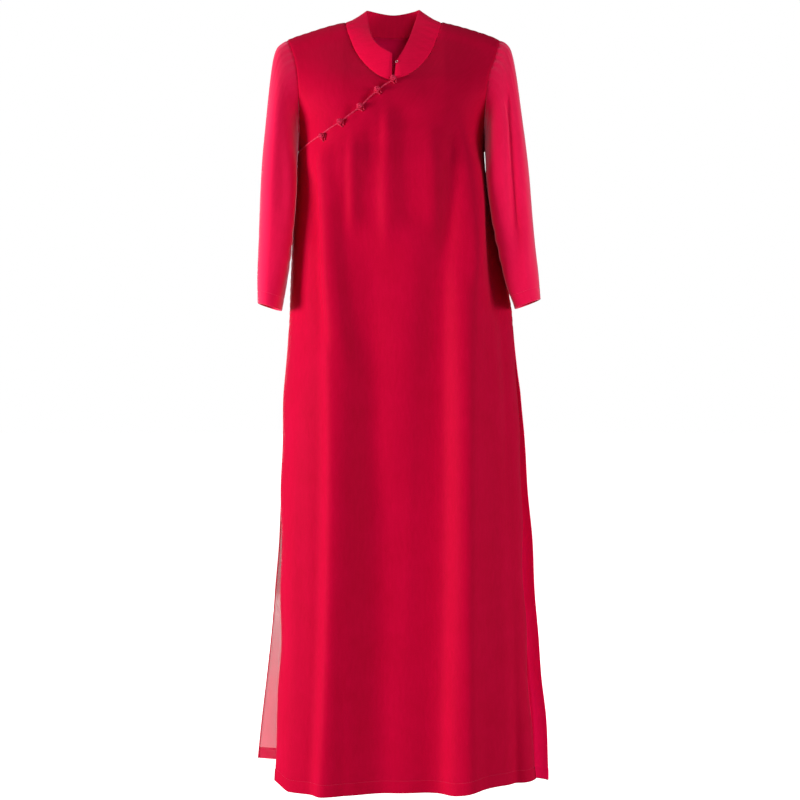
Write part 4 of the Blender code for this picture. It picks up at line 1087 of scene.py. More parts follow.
@dataclass
class FrontPanel(ClothPiece):
    """Front: from the wearer's left shoulder, neckline and diagonal edge down to the hem."""

    columns: int = 104
    neck_rows: int = 36
    diagonal_rows: int = 48
    skirt_step: float = 0.0048
    hem_height: float = -1.3300
    corner_lift: float = 0.0110
    corner_share: float = 0.06
    right_lift: float = 0.0128
    right_from: float = 0.62
    right_run: float = 0.24
    roll: float = 0.0035
    gape: float = 0.0018
    gape_width: float = 0.0070
    gape_depth: float = 0.0120

    @property
    def upper_rows(self) -> int:
        """Rows above the underarm."""
        return self.neck_rows + self.diagonal_rows

    def plan(self) -> Array:
        """Grid of places (x, z).

        Returns:
            Places of shape (rows, columns, 2).
        """
        down = np.linspace(0, 1, self.upper_rows + 1)
        neck = FORM.front_neck(np.linspace(0, 1, self.neck_rows + 1))
        start, end = np.array(DIAGONAL.rows[0]), np.array(DIAGONAL.rows[-1])
        neck[-1] = start
        edge_x = start[0] + (end[0] - start[0]) * graded_to_end(self.diagonal_rows)[1:]
        edge = np.stack([edge_x, DIAGONAL.read("height", edge_x)], axis=-1)
        left = np.concatenate([neck, edge])
        right = FORM.armhole("right", graded(self.upper_rows))
        shares = graded(self.columns)
        both = graded_to_end(self.columns) * (1 - down[:, None]) + shares * down[:, None]
        shoulder_x = FORM.neck_half + (right[0, 0] - FORM.neck_half) * both[0]
        top = np.stack([shoulder_x, SHOULDER.read("height", shoulder_x)], axis=-1)
        top[0], top[-1] = left[0], right[0]
        waist = line(left[-1], right[-1], shares)
        upper = coons(top, waist, left, right, both, down)

        down = HEM.shares(abs(self.hem_height - UNDERARM), self.skirt_step)
        corner = self.hem_height + self.corner_lift
        left = FORM.side_line(Side.FRONT, "left", end[1] + (corner - end[1]) * down)
        corner = self.hem_height + self.right_lift
        right = FORM.side_line(Side.FRONT, "right", UNDERARM + (corner - UNDERARM) * down)
        hem = line(left[-1], right[-1], shares)
        hem[:, 1] = (self.hem_height + self.corner_lift * (1 - ease(shares / self.corner_share))
                     + self.right_lift * ease((shares - self.right_from) / self.right_run))
        lower = coons(waist, hem, left, right, shares, down)
        return np.concatenate([upper, lower[1:]])

    def gapes(self, x: Array, z: Array) -> Array:
        """Lift of the diagonal edge midway between knots, where nothing holds it down.

        Args:
            x: places across.
            z: heights.

        Returns:
            Lift at each place.
        """
        knots = KNOTS.column("across")
        below = np.maximum(DIAGONAL.read("height", x) - z, 0.0)
        middles = (knots[1:] + knots[:-1]) / 2
        across = sum(bump(x - middle, self.gape_width) for middle in middles)
        return self.gape * across * bump(below, self.gape_depth)

    def lift(self, x: Array, z: Array) -> Array:
        """Lift of the cloth off the form: folds, and the even lift of the lap along its edge.

        Args:
            x: places across.
            z: heights.

        Returns:
            Lift at each place.
        """
        lap = FORM.lap(x, z)
        folds = (rise_of(FRONT_FOLDS, x, z) + rise_of(FRONT_CREASES, x, z) + ripple(x, z, 0.4))
        return folds * FORM.hold(x, z, Side.FRONT) * (1 - lap) + FORM.lap_lift * lap + self.gapes(x, z)

    def build(self, materials: dict[str, bpy.types.Material]) -> bpy.types.Object:
        """Build the panel with its seams, turned hem and rolled slit edges.

        Args:
            materials: finished materials by name.

        Returns:
            The new object.
        """
        plan = self.plan()
        x, z = plan[..., 0], plan[..., 1]
        base = FORM.points(x, z, Side.FRONT)
        normals = normals_of(base, np.array([0.0, -1.0, 0.0]))
        near = edge_distances(base)
        rows = np.arange(len(plan))[:, None]
        on_neck = (rows <= self.neck_rows) * 1.0
        in_seam = ease((z - SLIT_TOP) / SEAM.end)
        past_diagonal = (rows >= self.upper_rows) * 1.0
        lift = self.lift(x, z)
        lift += SEAM.rise(near["top"], near["left"]) + SEAM.rise(near["left"], near["top"]) * on_neck
        lift += SEAM.rise(near["right"], near["top"]) * in_seam
        lift += SEAM.rise(near["left"], near["top"]) * in_seam * past_diagonal
        lift += FLUTTER.rise(near["left"], z, 0.6) + FLUTTER.rise(near["right"], z, 2.4)
        lift += HEM.rise(near["low"])
        self.grid = base + normals * lift[..., None]
        normals = normals_of(self.grid, np.array([0.0, -1.0, 0.0]))
        grid = finish_edges(self.grid, normals, HEM.rows, self.fold_radius, self.roll, self.roll)
        return self.dress(Surface(grid), materials)


@dataclass
class Yoke(ClothPiece):
    """Wearer's right upper front, from shoulder and neckline to the underlap."""

    columns: int = 60
    armhole_rows: int = 55
    lap_rows: int = 10
    neck_rows: int = 40
    underlap: float = 0.0150
    underlap_side: float = 0.0140
    underlap_end: float = 0.0060
    neck_end: float = -0.0020
    dent: float = 0.0026
    dent_width: float = 0.0065
    dent_depth: float = 0.0090

    def plan(self) -> Array:
        """Grid of places (x, z).

        Returns:
            Places of shape (rows, columns, 2).
        """
        rows = self.armhole_rows + self.lap_rows
        shares = 1 - graded_to_end(self.columns)[::-1]
        start, end = np.array(DIAGONAL.rows[0]), np.array(DIAGONAL.rows[-1])
        heights = np.linspace(UNDERARM, end[1] - self.underlap_side, self.lap_rows + 1)[1:]
        left = np.concatenate([FORM.armhole("left", graded(self.armhole_rows)),
                               FORM.side_line(Side.FRONT, "left", heights)])
        neck = FORM.front_neck(np.linspace(0, 1, self.neck_rows + 1)) * (-1, 1)
        neck[-1, 0] = self.neck_end
        lap_end = np.array([self.underlap_end, start[1] - self.underlap])
        closing = line(neck[-1], lap_end, np.linspace(0, 1, rows - self.neck_rows + 1))
        right = np.concatenate([neck, closing[1:]])
        shoulder_x = left[0, 0] + (right[0, 0] - left[0, 0]) * shares
        top = np.stack([shoulder_x, SHOULDER.read("height", -shoulder_x)], axis=-1)
        top[0], top[-1] = left[0], right[0]
        low_x = left[-1, 0] + (right[-1, 0] - left[-1, 0]) * shares
        below = -self.underlap_side + (self.underlap_side - self.underlap) * shares
        low = np.stack([low_x, DIAGONAL.read("height", low_x) + below], axis=-1)
        low[-1] = right[-1]
        return coons(top, low, left, right, shares, np.linspace(0, 1, rows + 1))

    def dents(self, x: Array, z: Array) -> Array:
        """Small hollows beside the diagonal edge midway between knots, where the closure pulls.

        Args:
            x: places across.
            z: heights.

        Returns:
            Lift at each place, below 0 in a hollow.
        """
        knots = KNOTS.column("across")
        middles = (knots[1:] + knots[:-1]) / 2
        above = z - DIAGONAL.read("height", x)
        across = sum(bump(x - middle, self.dent_width) for middle in middles)
        return -self.dent * across * bump(above - 0.003, self.dent_depth)

    def build(self, materials: dict[str, bpy.types.Material]) -> bpy.types.Object:
        """Build the piece with its seams and the dents beside the closure.

        Args:
            materials: finished materials by name.

        Returns:
            The new object.
        """
        plan = self.plan()
        x, z = plan[..., 0], plan[..., 1]
        base = FORM.points(x, z, Side.FRONT)
        normals = normals_of(base, np.array([0.0, -1.0, 0.0]))
        near = edge_distances(base)
        on_neck = (np.arange(len(plan))[:, None] <= self.neck_rows) * 1.0
        lift = self.dents(x, z) + ripple(x, z, 1.7) * FORM.hold(x, z, Side.FRONT) * ease(near["right"] / 0.02)
        lift += SEAM.rise(near["top"], near["left"]) + SEAM.rise(near["left"], near["top"])
        lift += SEAM.rise(near["right"], near["top"]) * on_neck
        self.grid = base + normals * lift[..., None]
        return self.dress(Surface(self.grid), materials)


@dataclass
class BackPanel(ClothPiece):
    """Back: neck, shoulders and armholes down to the hem."""

    shoulder_columns: int = 27
    neck_columns: int = 50
    armhole_rows: int = 60
    skirt_step: float = 0.0048
    hem_left: float = -1.3265
    hem_right: float = -1.3554
    neck_dip: float = 0.0155
    neck_round: float = 1.3
    roll: float = 0.0030
    facing: float = 0.0300

    def plan(self) -> Array:
        """Grid of places (x, z).

        Returns:
            Places of shape (rows, columns, 2).
        """
        down = graded(self.armhole_rows)
        left, right = FORM.armhole("left", down), FORM.armhole("right", down)
        part = np.linspace(0, 1, self.shoulder_columns + 1)
        left_x = left[0, 0] + (-FORM.neck_half - left[0, 0]) * part
        right_x = FORM.neck_half + (right[0, 0] - FORM.neck_half) * part
        angle = np.pi * np.linspace(0, 1, self.neck_columns + 1)[1:-1]
        neck = np.stack([-FORM.neck_half * np.cos(angle), -self.neck_dip * np.sin(angle) ** self.neck_round], axis=-1)
        top = np.concatenate([np.stack([left_x, SHOULDER.read("height", -left_x)], axis=-1), neck,
                              np.stack([right_x, SHOULDER.read("height", right_x)], axis=-1)])
        top[0], top[-1] = left[0], right[0]
        shares = graded(len(top) - 1)
        waist = line(left[-1], right[-1], shares)
        upper = coons(top, waist, left, right, shares, np.linspace(0, 1, self.armhole_rows + 1))
        down = HEM.shares(abs(self.hem_left - UNDERARM), self.skirt_step)
        left = FORM.side_line(Side.BACK, "left", UNDERARM + (self.hem_left - UNDERARM) * down)
        right = FORM.side_line(Side.BACK, "right", UNDERARM + (self.hem_right - UNDERARM) * down)
        lower = coons(waist, line(left[-1], right[-1], shares), left, right, shares, down)
        return np.concatenate([upper, lower[1:]])

    def build(self, materials: dict[str, bpy.types.Material]) -> bpy.types.Object:
        """Build the panel with its seams, turned hem and rolled slit edges.

        Args:
            materials: finished materials by name.

        Returns:
            The new object.
        """
        plan = self.plan()
        x, z = plan[..., 0], plan[..., 1]
        base = FORM.points(x, z, Side.BACK)
        normals = normals_of(base, np.array([0.0, 1.0, 0.0]))
        near = edge_distances(base)
        in_seam = ease((z - SLIT_TOP) / SEAM.end)
        lift = (rise_of(BACK_FOLDS, x, z) + rise_of(BACK_CREASES, x, z) + ripple(x, z, 2.9))
        lift *= FORM.hold(x, z, Side.BACK)
        lift += SEAM.rise(near["top"], near["left"])
        lift += (SEAM.rise(near["left"], near["top"]) + SEAM.rise(near["right"], near["top"])) * in_seam
        lift += FLUTTER.rise(near["left"], z, 1.5) + FLUTTER.rise(near["right"], z, 4.1)
        lift += HEM.rise(near["low"])
        self.grid = base + normals * lift[..., None]
        normals = normals_of(self.grid, np.array([0.0, 1.0, 0.0]))
        grid = finish_edges(self.grid, normals, HEM.rows, self.fold_radius, self.roll, self.facing)
        return self.dress(Surface(grid), materials)


# The inner lines run up to 3 mm nearer the body than the solids', whose walls are thicker.
RINGS = ("ring", "out_x", "out_z", "in_x", "in_z", "half_depth", "centre_y")
LEFT_RINGS = Table(RINGS, (
    (0, -0.1868, -0.0315, -0.1663, -0.2270, 0.0560, 0.006), (1, -0.1959, -0.0371, -0.1700, -0.2268, 0.0575, 0.005),
    (2, -0.2047, -0.0458, -0.1700, -0.2290, 0.0585, 0.003), (3, -0.2103, -0.0660, -0.1696, -0.2340, 0.0590, -0.002),
    (4, -0.2137, -0.0933, -0.1690, -0.2430, 0.0590, -0.009), (5, -0.2179, -0.1359, -0.1692, -0.2560, 0.0590, -0.017),
    (6, -0.2223, -0.1854, -0.1702, -0.2740, 0.0585, -0.023), (7, -0.2268, -0.2394, -0.1715, -0.3000, 0.0575, -0.027),
    (8, -0.2300, -0.2948, -0.1736, -0.3370, 0.0560, -0.030), (9, -0.2324, -0.3490, -0.1766, -0.3800, 0.0540, -0.031),
    (10, -0.2342, -0.4032, -0.1806, -0.4250, 0.0520, -0.033), (11, -0.2354, -0.4525, -0.1866, -0.4680, 0.0500, -0.035),
    (12, -0.2344, -0.4959, -0.1935, -0.5080, 0.0485, -0.037)))
RIGHT_RINGS = Table(RINGS, (
    (0, 0.1868, -0.0315, 0.1600, -0.2270, 0.0560, 0.006), (1, 0.1949, -0.0353, 0.1636, -0.2268, 0.0575, 0.005),
    (2, 0.2033, -0.0448, 0.1640, -0.2290, 0.0585, 0.003), (3, 0.2088, -0.0640, 0.1632, -0.2345, 0.0590, -0.002),
    (4, 0.2128, -0.0884, 0.1623, -0.2430, 0.0590, -0.009), (5, 0.2180, -0.1272, 0.1619, -0.2560, 0.0590, -0.018),
    (6, 0.2236, -0.1766, 0.1626, -0.2740, 0.0585, -0.028), (7, 0.2301, -0.2318, 0.1662, -0.3000, 0.0575, -0.034),
    (8, 0.2360, -0.2889, 0.1722, -0.3370, 0.0560, -0.036), (9, 0.2406, -0.3447, 0.1814, -0.3800, 0.0540, -0.036),
    (10, 0.2456, -0.3988, 0.1910, -0.4250, 0.0520, -0.038), (11, 0.2507, -0.4480, 0.1990, -0.4650, 0.0500, -0.040),
    (12, 0.2537, -0.4894, 0.2100, -0.5050, 0.0485, -0.042)))
# How far each ring's inner front corner is drawn over the front of the body.
LEAN = Table(("ring", "left", "right"), (
    (0, 0.0, 0.0), (1, 0.030, 0.040), (2, 0.060, 0.074), (3, 0.066, 0.078), (5, 0.066, 0.066), (7, 0.054, 0.054),
    (9, 0.036, 0.050), (11, 0.012, 0.040), (12, 0.004, 0.022)))


@dataclass
class Sleeve(ClothPiece):
    """Set-in three-quarter sleeve: rings from the armhole of the panels to the cuff.

    Each ring is an ellipse through its outer and inner points. The first takes the armhole's own
    outline, and the difference dies away over the next rings.
    """

    rings: Table = LEFT_RINGS
    side: str = "left"
    edge: Array = field(default=None, repr=False)
    clearance: float = 0.0030
    steps: int = 110
    cuff_share: float = 0.045
    blend: float = 7.0
    ease_in: float = 0.0004
    ease_step: float = 0.019
    ease_width: float = 0.008
    ease_from: float = 0.010

    def build(self, materials: dict[str, bpy.types.Material]) -> bpy.types.Object:
        """Build the sleeve with its eased head, folds and turned cuff.

        Args:
            materials: finished materials by name.

        Returns:
            The new object.
        """
        last = self.rings.rows[-1][0]
        above_cuff = np.linspace(0, 1 - self.cuff_share, self.steps)
        at = np.concatenate([above_cuff, np.linspace(1 - self.cuff_share, 1, HEM.rows + 3)[1:]]) * last
        read = {name: self.rings.read(name, at) for name in RINGS[1:]}
        zero = np.zeros_like(at)
        outer = np.stack([read["out_x"], zero, read["out_z"]], axis=-1)
        inner = np.stack([read["in_x"], zero, read["in_z"]], axis=-1)
        centre = (outer + inner) / 2
        centre[:, 1] = read["centre_y"]
        arm = (outer - inner) / 2
        reach = self.edge - centre[0]
        angle = np.arctan2(-reach[:, 1] / read["half_depth"][0], reach @ arm[0] / (arm[0] @ arm[0]))
        ellipse = centre[:, None] + arm[:, None] * np.cos(angle)[None, :, None]
        ellipse[..., 1] -= read["half_depth"][:, None] * np.sin(angle)[None]
        ellipse = self.lie_over_body(ellipse, angle, unit(-arm), LEAN.read(self.side, at))
        keep = 1 - ease(at / self.blend)
        grid = ellipse + (self.edge - ellipse[0])[None] * keep[:, None, None]
        middle = grid.mean(axis=1, keepdims=True)
        normals = normals_of(grid, grid - middle, ring=True)
        x, z = grid[..., 0], grid[..., 2]
        facing = np.maximum(-normals[..., 1], 0.0)
        near, run = run_along(grid, 0), run_along(grid, 1)
        head = np.maximum(np.cos(angle), 0.0)[None] ** 2
        lift = rise_of(SLEEVE_FOLDS, x, z) * facing + SEAM.rise(near, run)
        gathers = self.ease_in * np.sin(2 * np.pi * run / self.ease_step)
        lift += gathers * bump(near - self.ease_from, self.ease_width) * head
        lift += HEM.rise(near[-1:] - near) + ripple(run, z, 5.3) * ease(near / 0.05)
        lift += self.elbow(angle[None], near / near[-1:])
        self.grid = grid + normals * lift[..., None]
        normals = normals_of(self.grid, self.grid - middle, ring=True)
        turned, _ = turn_under(self.grid, normals, HEM.rows, self.fold_radius, np.full(grid.shape[1], 2.0))
        return self.dress(Surface(turned, ring=True), materials)

    def lie_over_body(self, ellipse: Array, angle: Array, inward: Array, lean: Array) -> Array:
        """Draw the inner front corner of each ring inward, and keep it in front of the body.

        Args:
            ellipse: points of the rings.
            angle: place round the ring, 0 at its outer point and 90 degrees at its front.
            inward: direction from the outer to the inner point of each ring.
            lean: how far each ring is drawn.

        Returns:
            The moved points.
        """
        corner = np.maximum(-np.cos(angle), 0.0) * np.maximum(np.sin(angle), 0.0) ** 2
        moved = ellipse + inward[:, None] * (lean[:, None] * corner)[..., None]
        body = FORM.points(moved[..., 0], moved[..., 2], Side.FRONT)[..., 1]
        over = (np.abs(FORM.share(moved[..., 0], moved[..., 2], Side.FRONT)) < 1.0) & (corner > 0)[None]
        moved[..., 1] = np.where(over, np.minimum(moved[..., 1], body - self.clearance), moved[..., 1])
        return moved

    def elbow(self, angle: Array, down: Array) -> Array:
        """Soft slanting creases at the inside of the elbow, three waves that wrap half round.

        Args:
            angle: place round the ring.
            down: place down the sleeve, 0 at its head and 1 at the cuff.

        Returns:
            Lift at each point.
        """
        depth, place, spread, count = 0.0013, 0.66, 0.16, 3.4
        waves = np.sin(2 * np.pi * count * (down - 0.08 * np.sin(angle)) / (2 * spread))
        return depth * waves * bump(down - place, spread / 2) * np.maximum(-np.cos(angle), 0.0) ** 1.5


COLLAR_TOP = Table(("along", "x", "y", "z"), (
    (0.000, -0.0022, -0.0715, -0.0725), (0.060, -0.0120, -0.0690, -0.0660), (0.120, -0.0250, -0.0620, -0.0560),
    (0.190, -0.0370, -0.0450, -0.0370), (0.270, -0.0440, -0.0180, -0.0080), (0.340, -0.0475, 0.0080, 0.0225),
    (0.420, -0.0390, 0.0350, 0.0290), (0.500, 0.0000, 0.0450, 0.0250), (0.580, 0.0400, 0.0350, 0.0300),
    (0.660, 0.0460, 0.0080, 0.0245), (0.740, 0.0375, -0.0180, -0.0060), (0.820, 0.0280, -0.0420, -0.0380),
    (0.900, 0.0175, -0.0600, -0.0630), (1.000, 0.0045, -0.0720, -0.0850)))


@dataclass
class Collar(ClothPiece):
    """Standing band: two layers folded along the top edge, sewn into the neckline."""

    edge: Array = field(default=None, repr=False)
    rows: int = 16
    bow: float = 0.0012
    layer_radius: float = 0.0007
    length: float = 0.42
    unevenness: float = 0.6
    seam_dip: float = 0.0006
    seam_width: float = 0.0012

    def build(self, materials: dict[str, bpy.types.Material]) -> bpy.types.Object:
        """Build both layers of the band as one folded sheet.

        Args:
            materials: finished materials by name.

        Returns:
            The new object.
        """
        run = run_along(self.edge[None], 1)[0]
        along = run / run[-1]
        top = np.stack([COLLAR_TOP.read(axis, along) for axis in "xyz"], axis=-1)
        share = graded(self.rows, 0.4)[:, None, None]
        grid = self.edge[None] * (1 - share) + top[None] * share
        normals = normals_of(grid, grid - grid.mean(axis=(0, 1)))
        near = edge_distances(grid)
        lift = self.bow * np.sin(np.pi * share[..., 0])
        lift = lift + ripple(along * self.length, grid[..., 2], 7.1) * self.unevenness
        lift -= self.seam_dip * bump(near["top"], self.seam_width)
        self.grid = grid + normals * (lift[..., None] + self.layer_radius)
        normals = normals_of(self.grid, grid - grid.mean(axis=(0, 1)))
        turned, _ = turn_under(self.grid, normals, self.rows, self.layer_radius, np.full(grid.shape[1], 2.0))
        return self.dress(Surface(turned), materials)


# ------------------------------------------------------------------------------ trims
@dataclass
class EdgeCord:
    """Thin rolled cord along the diagonal edge of the front panel."""

    edge: Array
    normal: Array
    radius: float = 0.0012
    sides: int = 12
    step: float = 0.0012
    stand_off: float = 0.7
    pinch: float = 0.10
    pinch_step: float = 0.0063

    def build(self, materials: dict[str, bpy.types.Material]) -> bpy.types.Object:
        """Build the cord on the edge's points, moved out by most of its radius.

        Args:
            materials: finished materials by name.

        Returns:
            The new object.
        """
        path = self.edge + self.normal * self.radius * self.stand_off
        length = np.linalg.norm(np.diff(path, axis=0), axis=-1).sum()
        path = resampled(path, round(length / self.step))
        run = np.linspace(0, length, len(path))
        pinch = 1 + self.pinch * np.sin(2 * np.pi * run / self.pinch_step + 1.3 * np.sin(run / 0.011))
        item = joined("diagonal_edge_cord", [(tube(path, self.radius * pinch, self.sides, np.array([0.0, -1.0, 0.0])),
                                              False, True)])
        item.data.materials.append(materials[EDGE_CORD_PAINTED_HIGHLIGHT.name])
        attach(item, "root")
        return item


@dataclass
class Fastening:
    """One ball knot and the loop of cord round its foot.

    Attributes:
        number: place along the closure, 1 at the collar.
        seat: point of the front panel's outer face under the knot.
        normal: outward direction there.
        tail_way: direction in which the loop's tails lie.
    """

    number: int
    seat: Array
    normal: Array
    tail_way: Array
    ball: float = 0.0056
    flatten: float = 0.92
    strand: float = 0.00150
    rest_gap: float = 0.0004
    bights: int = 4
    leads: int = 3
    weave_depth: float = 0.00030
    spread: float = math.radians(62)
    loop_cord: float = 0.0009
    loop_radius: float = 0.0052
    tail: float = 0.0042
    opening: float = math.radians(25)

    def axes(self) -> tuple[Array, Array, Array]:
        """Tail direction, the direction across it and the normal, square to each other."""
        tail = unit(self.tail_way - self.normal * (self.tail_way @ self.normal))
        return tail, np.cross(self.normal, tail), self.normal

    def placed(self, points: Array, height: float) -> Array:
        """Points of the knot's own frame, set on the panel at a height above the seat."""
        tail, across, up = self.axes()
        return self.seat + points[..., :1] * tail + points[..., 1:2] * across + (points[..., 2:] + height) * up

    def knot(self, materials: dict[str, bpy.types.Material]) -> bpy.types.Object:
        """Ball knot: one strand that goes round the ball as a Turk's head.

        With t round the ball, the strand's latitude is spread * sin(bights / leads * t), and its
        radius falls and rises at twice that rate, so that it passes over and under in turn.

        Args:
            materials: finished materials by name.

        Returns:
            The new object.
        """
        count = 168
        t = np.linspace(0, 2 * np.pi * self.leads, count, endpoint=False)
        swing = self.bights / self.leads * t
        latitude = self.spread * np.sin(swing)
        radius = self.ball - self.strand - self.weave_depth * (1 + np.sin(2 * swing))
        out = np.stack([np.cos(latitude) * np.cos(t), np.cos(latitude) * np.sin(t), np.sin(latitude)], axis=-1)
        path = out * radius[:, None] * (1, 1, self.flatten)
        strand = tube(path, self.strand, 9, out, loop=True, flat=0.85)
        band = np.linspace(-np.pi / 2, np.pi / 2, 11)[1:-1, None]
        turn = np.linspace(0, 2 * np.pi, 20, endpoint=False)[None]
        core = (self.ball - 2 * self.strand) * np.stack(
            [np.cos(band) * np.cos(turn), np.cos(band) * np.sin(turn), np.sin(band) * np.ones_like(turn)], axis=-1)
        height = self.rest_gap + self.ball * self.flatten
        item = joined(f"ball_knot_{self.number}", [(self.placed(strand, height), True, False),
                                                   (self.placed(core, height), False, True)])
        return self.finish(item, f"knot_button_{self.number}", materials)

    def loop(self, materials: dict[str, bpy.types.Material]) -> bpy.types.Object:
        """Loop of cord round the knot's foot, with both tails sewn down on the front panel.

        Args:
            materials: finished materials by name.

        Returns:
            The new object.
        """
        turn = np.linspace(self.opening, 2 * np.pi - self.opening, 40)
        ring = np.stack([np.cos(turn), np.sin(turn), np.zeros_like(turn)], axis=-1) * self.loop_radius
        tail = np.array([self.tail, 0.0, 0.0]) * np.linspace(1, 0, 9)[:-1, None]
        path = np.concatenate([ring[0] + tail, ring, ring[-1] + tail[::-1]])
        path = resampled(self.placed(path, self.rest_gap + self.loop_cord), 70)
        smooth = path.copy()
        smooth[1:-1] = (path[:-2] + 2 * path[1:-1] + path[2:]) / 4
        item = joined(f"cord_loop_{self.number}", [(tube(smooth, self.loop_cord, 10, self.normal), False, True)])
        return self.finish(item, f"button_loop_{self.number}", materials)

    def finish(self, item: bpy.types.Object, node: str, materials: dict[str, bpy.types.Material]) -> bpy.types.Object:
        """Dress a trim and set it in place of its solid.

        Args:
            item: object of the trim.
            node: solid that it stands for.
            materials: finished materials by name.

        Returns:
            The same object.
        """
        item.data.materials.append(materials[KNOT_CORD_PAINTED_LIGHTER.name])
        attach(item, "root")
        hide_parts(node)
        return item


@dataclass
class HookEye:
    """Small wire eye on the collar's front end, sewn on by two turns of thread."""

    wire: float = 0.0005

    def build(self, materials: dict[str, bpy.types.Material]) -> bpy.types.Object:
        """Build the eye in the place of its solid: a ring of wire square to the solid's thin way.

        Args:
            materials: finished materials by name.

        Returns:
            The new object.
        """
        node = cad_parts["collar_hook"]
        points = np.array([vertex.co for vertex in node.data.vertices])
        centre = points.mean(axis=0)
        _, _, ways = np.linalg.svd(points - centre)
        radius = np.abs((points - centre) @ ways[0]).max() - self.wire
        turn = np.linspace(0, 2 * np.pi, 48, endpoint=False)[:, None]
        path = centre + radius * (ways[0] * np.cos(turn) + ways[1] * np.sin(turn))
        item = joined("collar_eye", [(tube(path, self.wire, 10, ways[2], loop=True), True, False)])
        item.data.materials.append(materials[WireFinish().name])
        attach(item, "root")
        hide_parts("collar_hook")
        return item


@dataclass
class StitchRow:
    """Row of short stitches along a path on the cloth's outer face."""

    name: str
    path: Array
    normal: Array
    length: float = 0.0023
    pitch: float = 0.0036
    radius: float = 0.00028
    sink: float = 0.0001

    def build(self, materials: dict[str, bpy.types.Material]) -> bpy.types.Object:
        """Build every stitch as a short thread with round ends, all in one mesh.

        Args:
            materials: finished materials by name.

        Returns:
            The new object.
        """
        run = np.concatenate([[0.0], np.cumsum(np.linalg.norm(np.diff(self.path, axis=0), axis=-1))])
        starts = np.arange(self.pitch, run[-1] - self.pitch, self.pitch)
        parts = np.linspace(0, 1, 5)
        at = (starts[:, None] + self.length * parts).reshape(-1)
        path = np.stack([np.interp(at, run, self.path[:, k]) for k in range(3)], axis=-1)
        normal = unit(np.stack([np.interp(at, run, self.normal[:, k]) for k in range(3)], axis=-1))
        arch = np.tile(np.sin(np.pi * parts), len(starts))
        path = path + normal * (self.radius * arch - self.sink)[:, None]
        radius = self.radius * np.tile((0.35, 0.9, 1.0, 0.9, 0.35), len(starts))
        rings = tube(path, radius, 6, normal).reshape(len(starts), len(parts), 6, 3)
        item = joined(self.name, [(ring, False, True) for ring in rings])
        item.data.materials.append(materials[HEM_THREAD.name])
        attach(item, "root")
        return item


# ------------------------------------------------------------------------------ studio
@dataclass(frozen=True)
class Lamp:
    """Square soft lamp that faces the middle of the garment.

    Attributes:
        name: name of the lamp.
        place: where it stands.
        size: length of its side.
        power: in watts.
        tint: its colour.
        lights: names of the only pieces that it lights, or nothing where it lights them all.
        aim: where it faces.
    """

    name: str
    place: tuple[float, float, float]
    size: float
    power: float
    tint: str = "ffffff"
    lights: tuple[str, ...] = ()
    aim: tuple[float, float, float] = (0.0, 0.0, -0.62)

    def build(self) -> None:
        """Hang the lamp."""
        data = bpy.data.lights.new(self.name, "AREA")
        data.size = self.size
        data.energy = self.power
        data.color = linear(self.tint)[:3]
        lamp = bpy.data.objects.new(self.name, data)
        lamp.location = self.place
        lamp.rotation_euler = (Vector(self.aim) - lamp.location).to_track_quat("-Z", "Y").to_euler()
        lamp.visible_camera = False
        bpy.context.scene.collection.objects.link(lamp)
        if self.lights:
            lit = bpy.data.collections.new(self.name + "_lights")
            for name in self.lights:
                lit.objects.link(bpy.data.objects[name])
            lamp.light_linking.receiver_collection = lit


SLEEVES = ("left_sleeve_cloth", "right_sleeve_cloth")
LAMPS = (
    Lamp("key", (-3.13, -1.40, -0.66), 1.1, 112.0, "fff2f4"),
    Lamp("fill", (2.95, -1.70, -0.60), 1.4, 46.0),
    Lamp("back", (-0.80, 3.20, -0.40), 1.6, 95.0),
    Lamp("front", (0.50, -3.30, -0.60), 0.9, 32.0, lights=(*SLEEVES, "collar_cloth", "back_cloth")),
    Lamp("left_side", (-3.30, 0.20, -0.40), 1.0, 60.0, lights=SLEEVES),
    Lamp("right_side", (3.30, -0.60, -0.45), 1.0, 34.0, lights=SLEEVES),
)


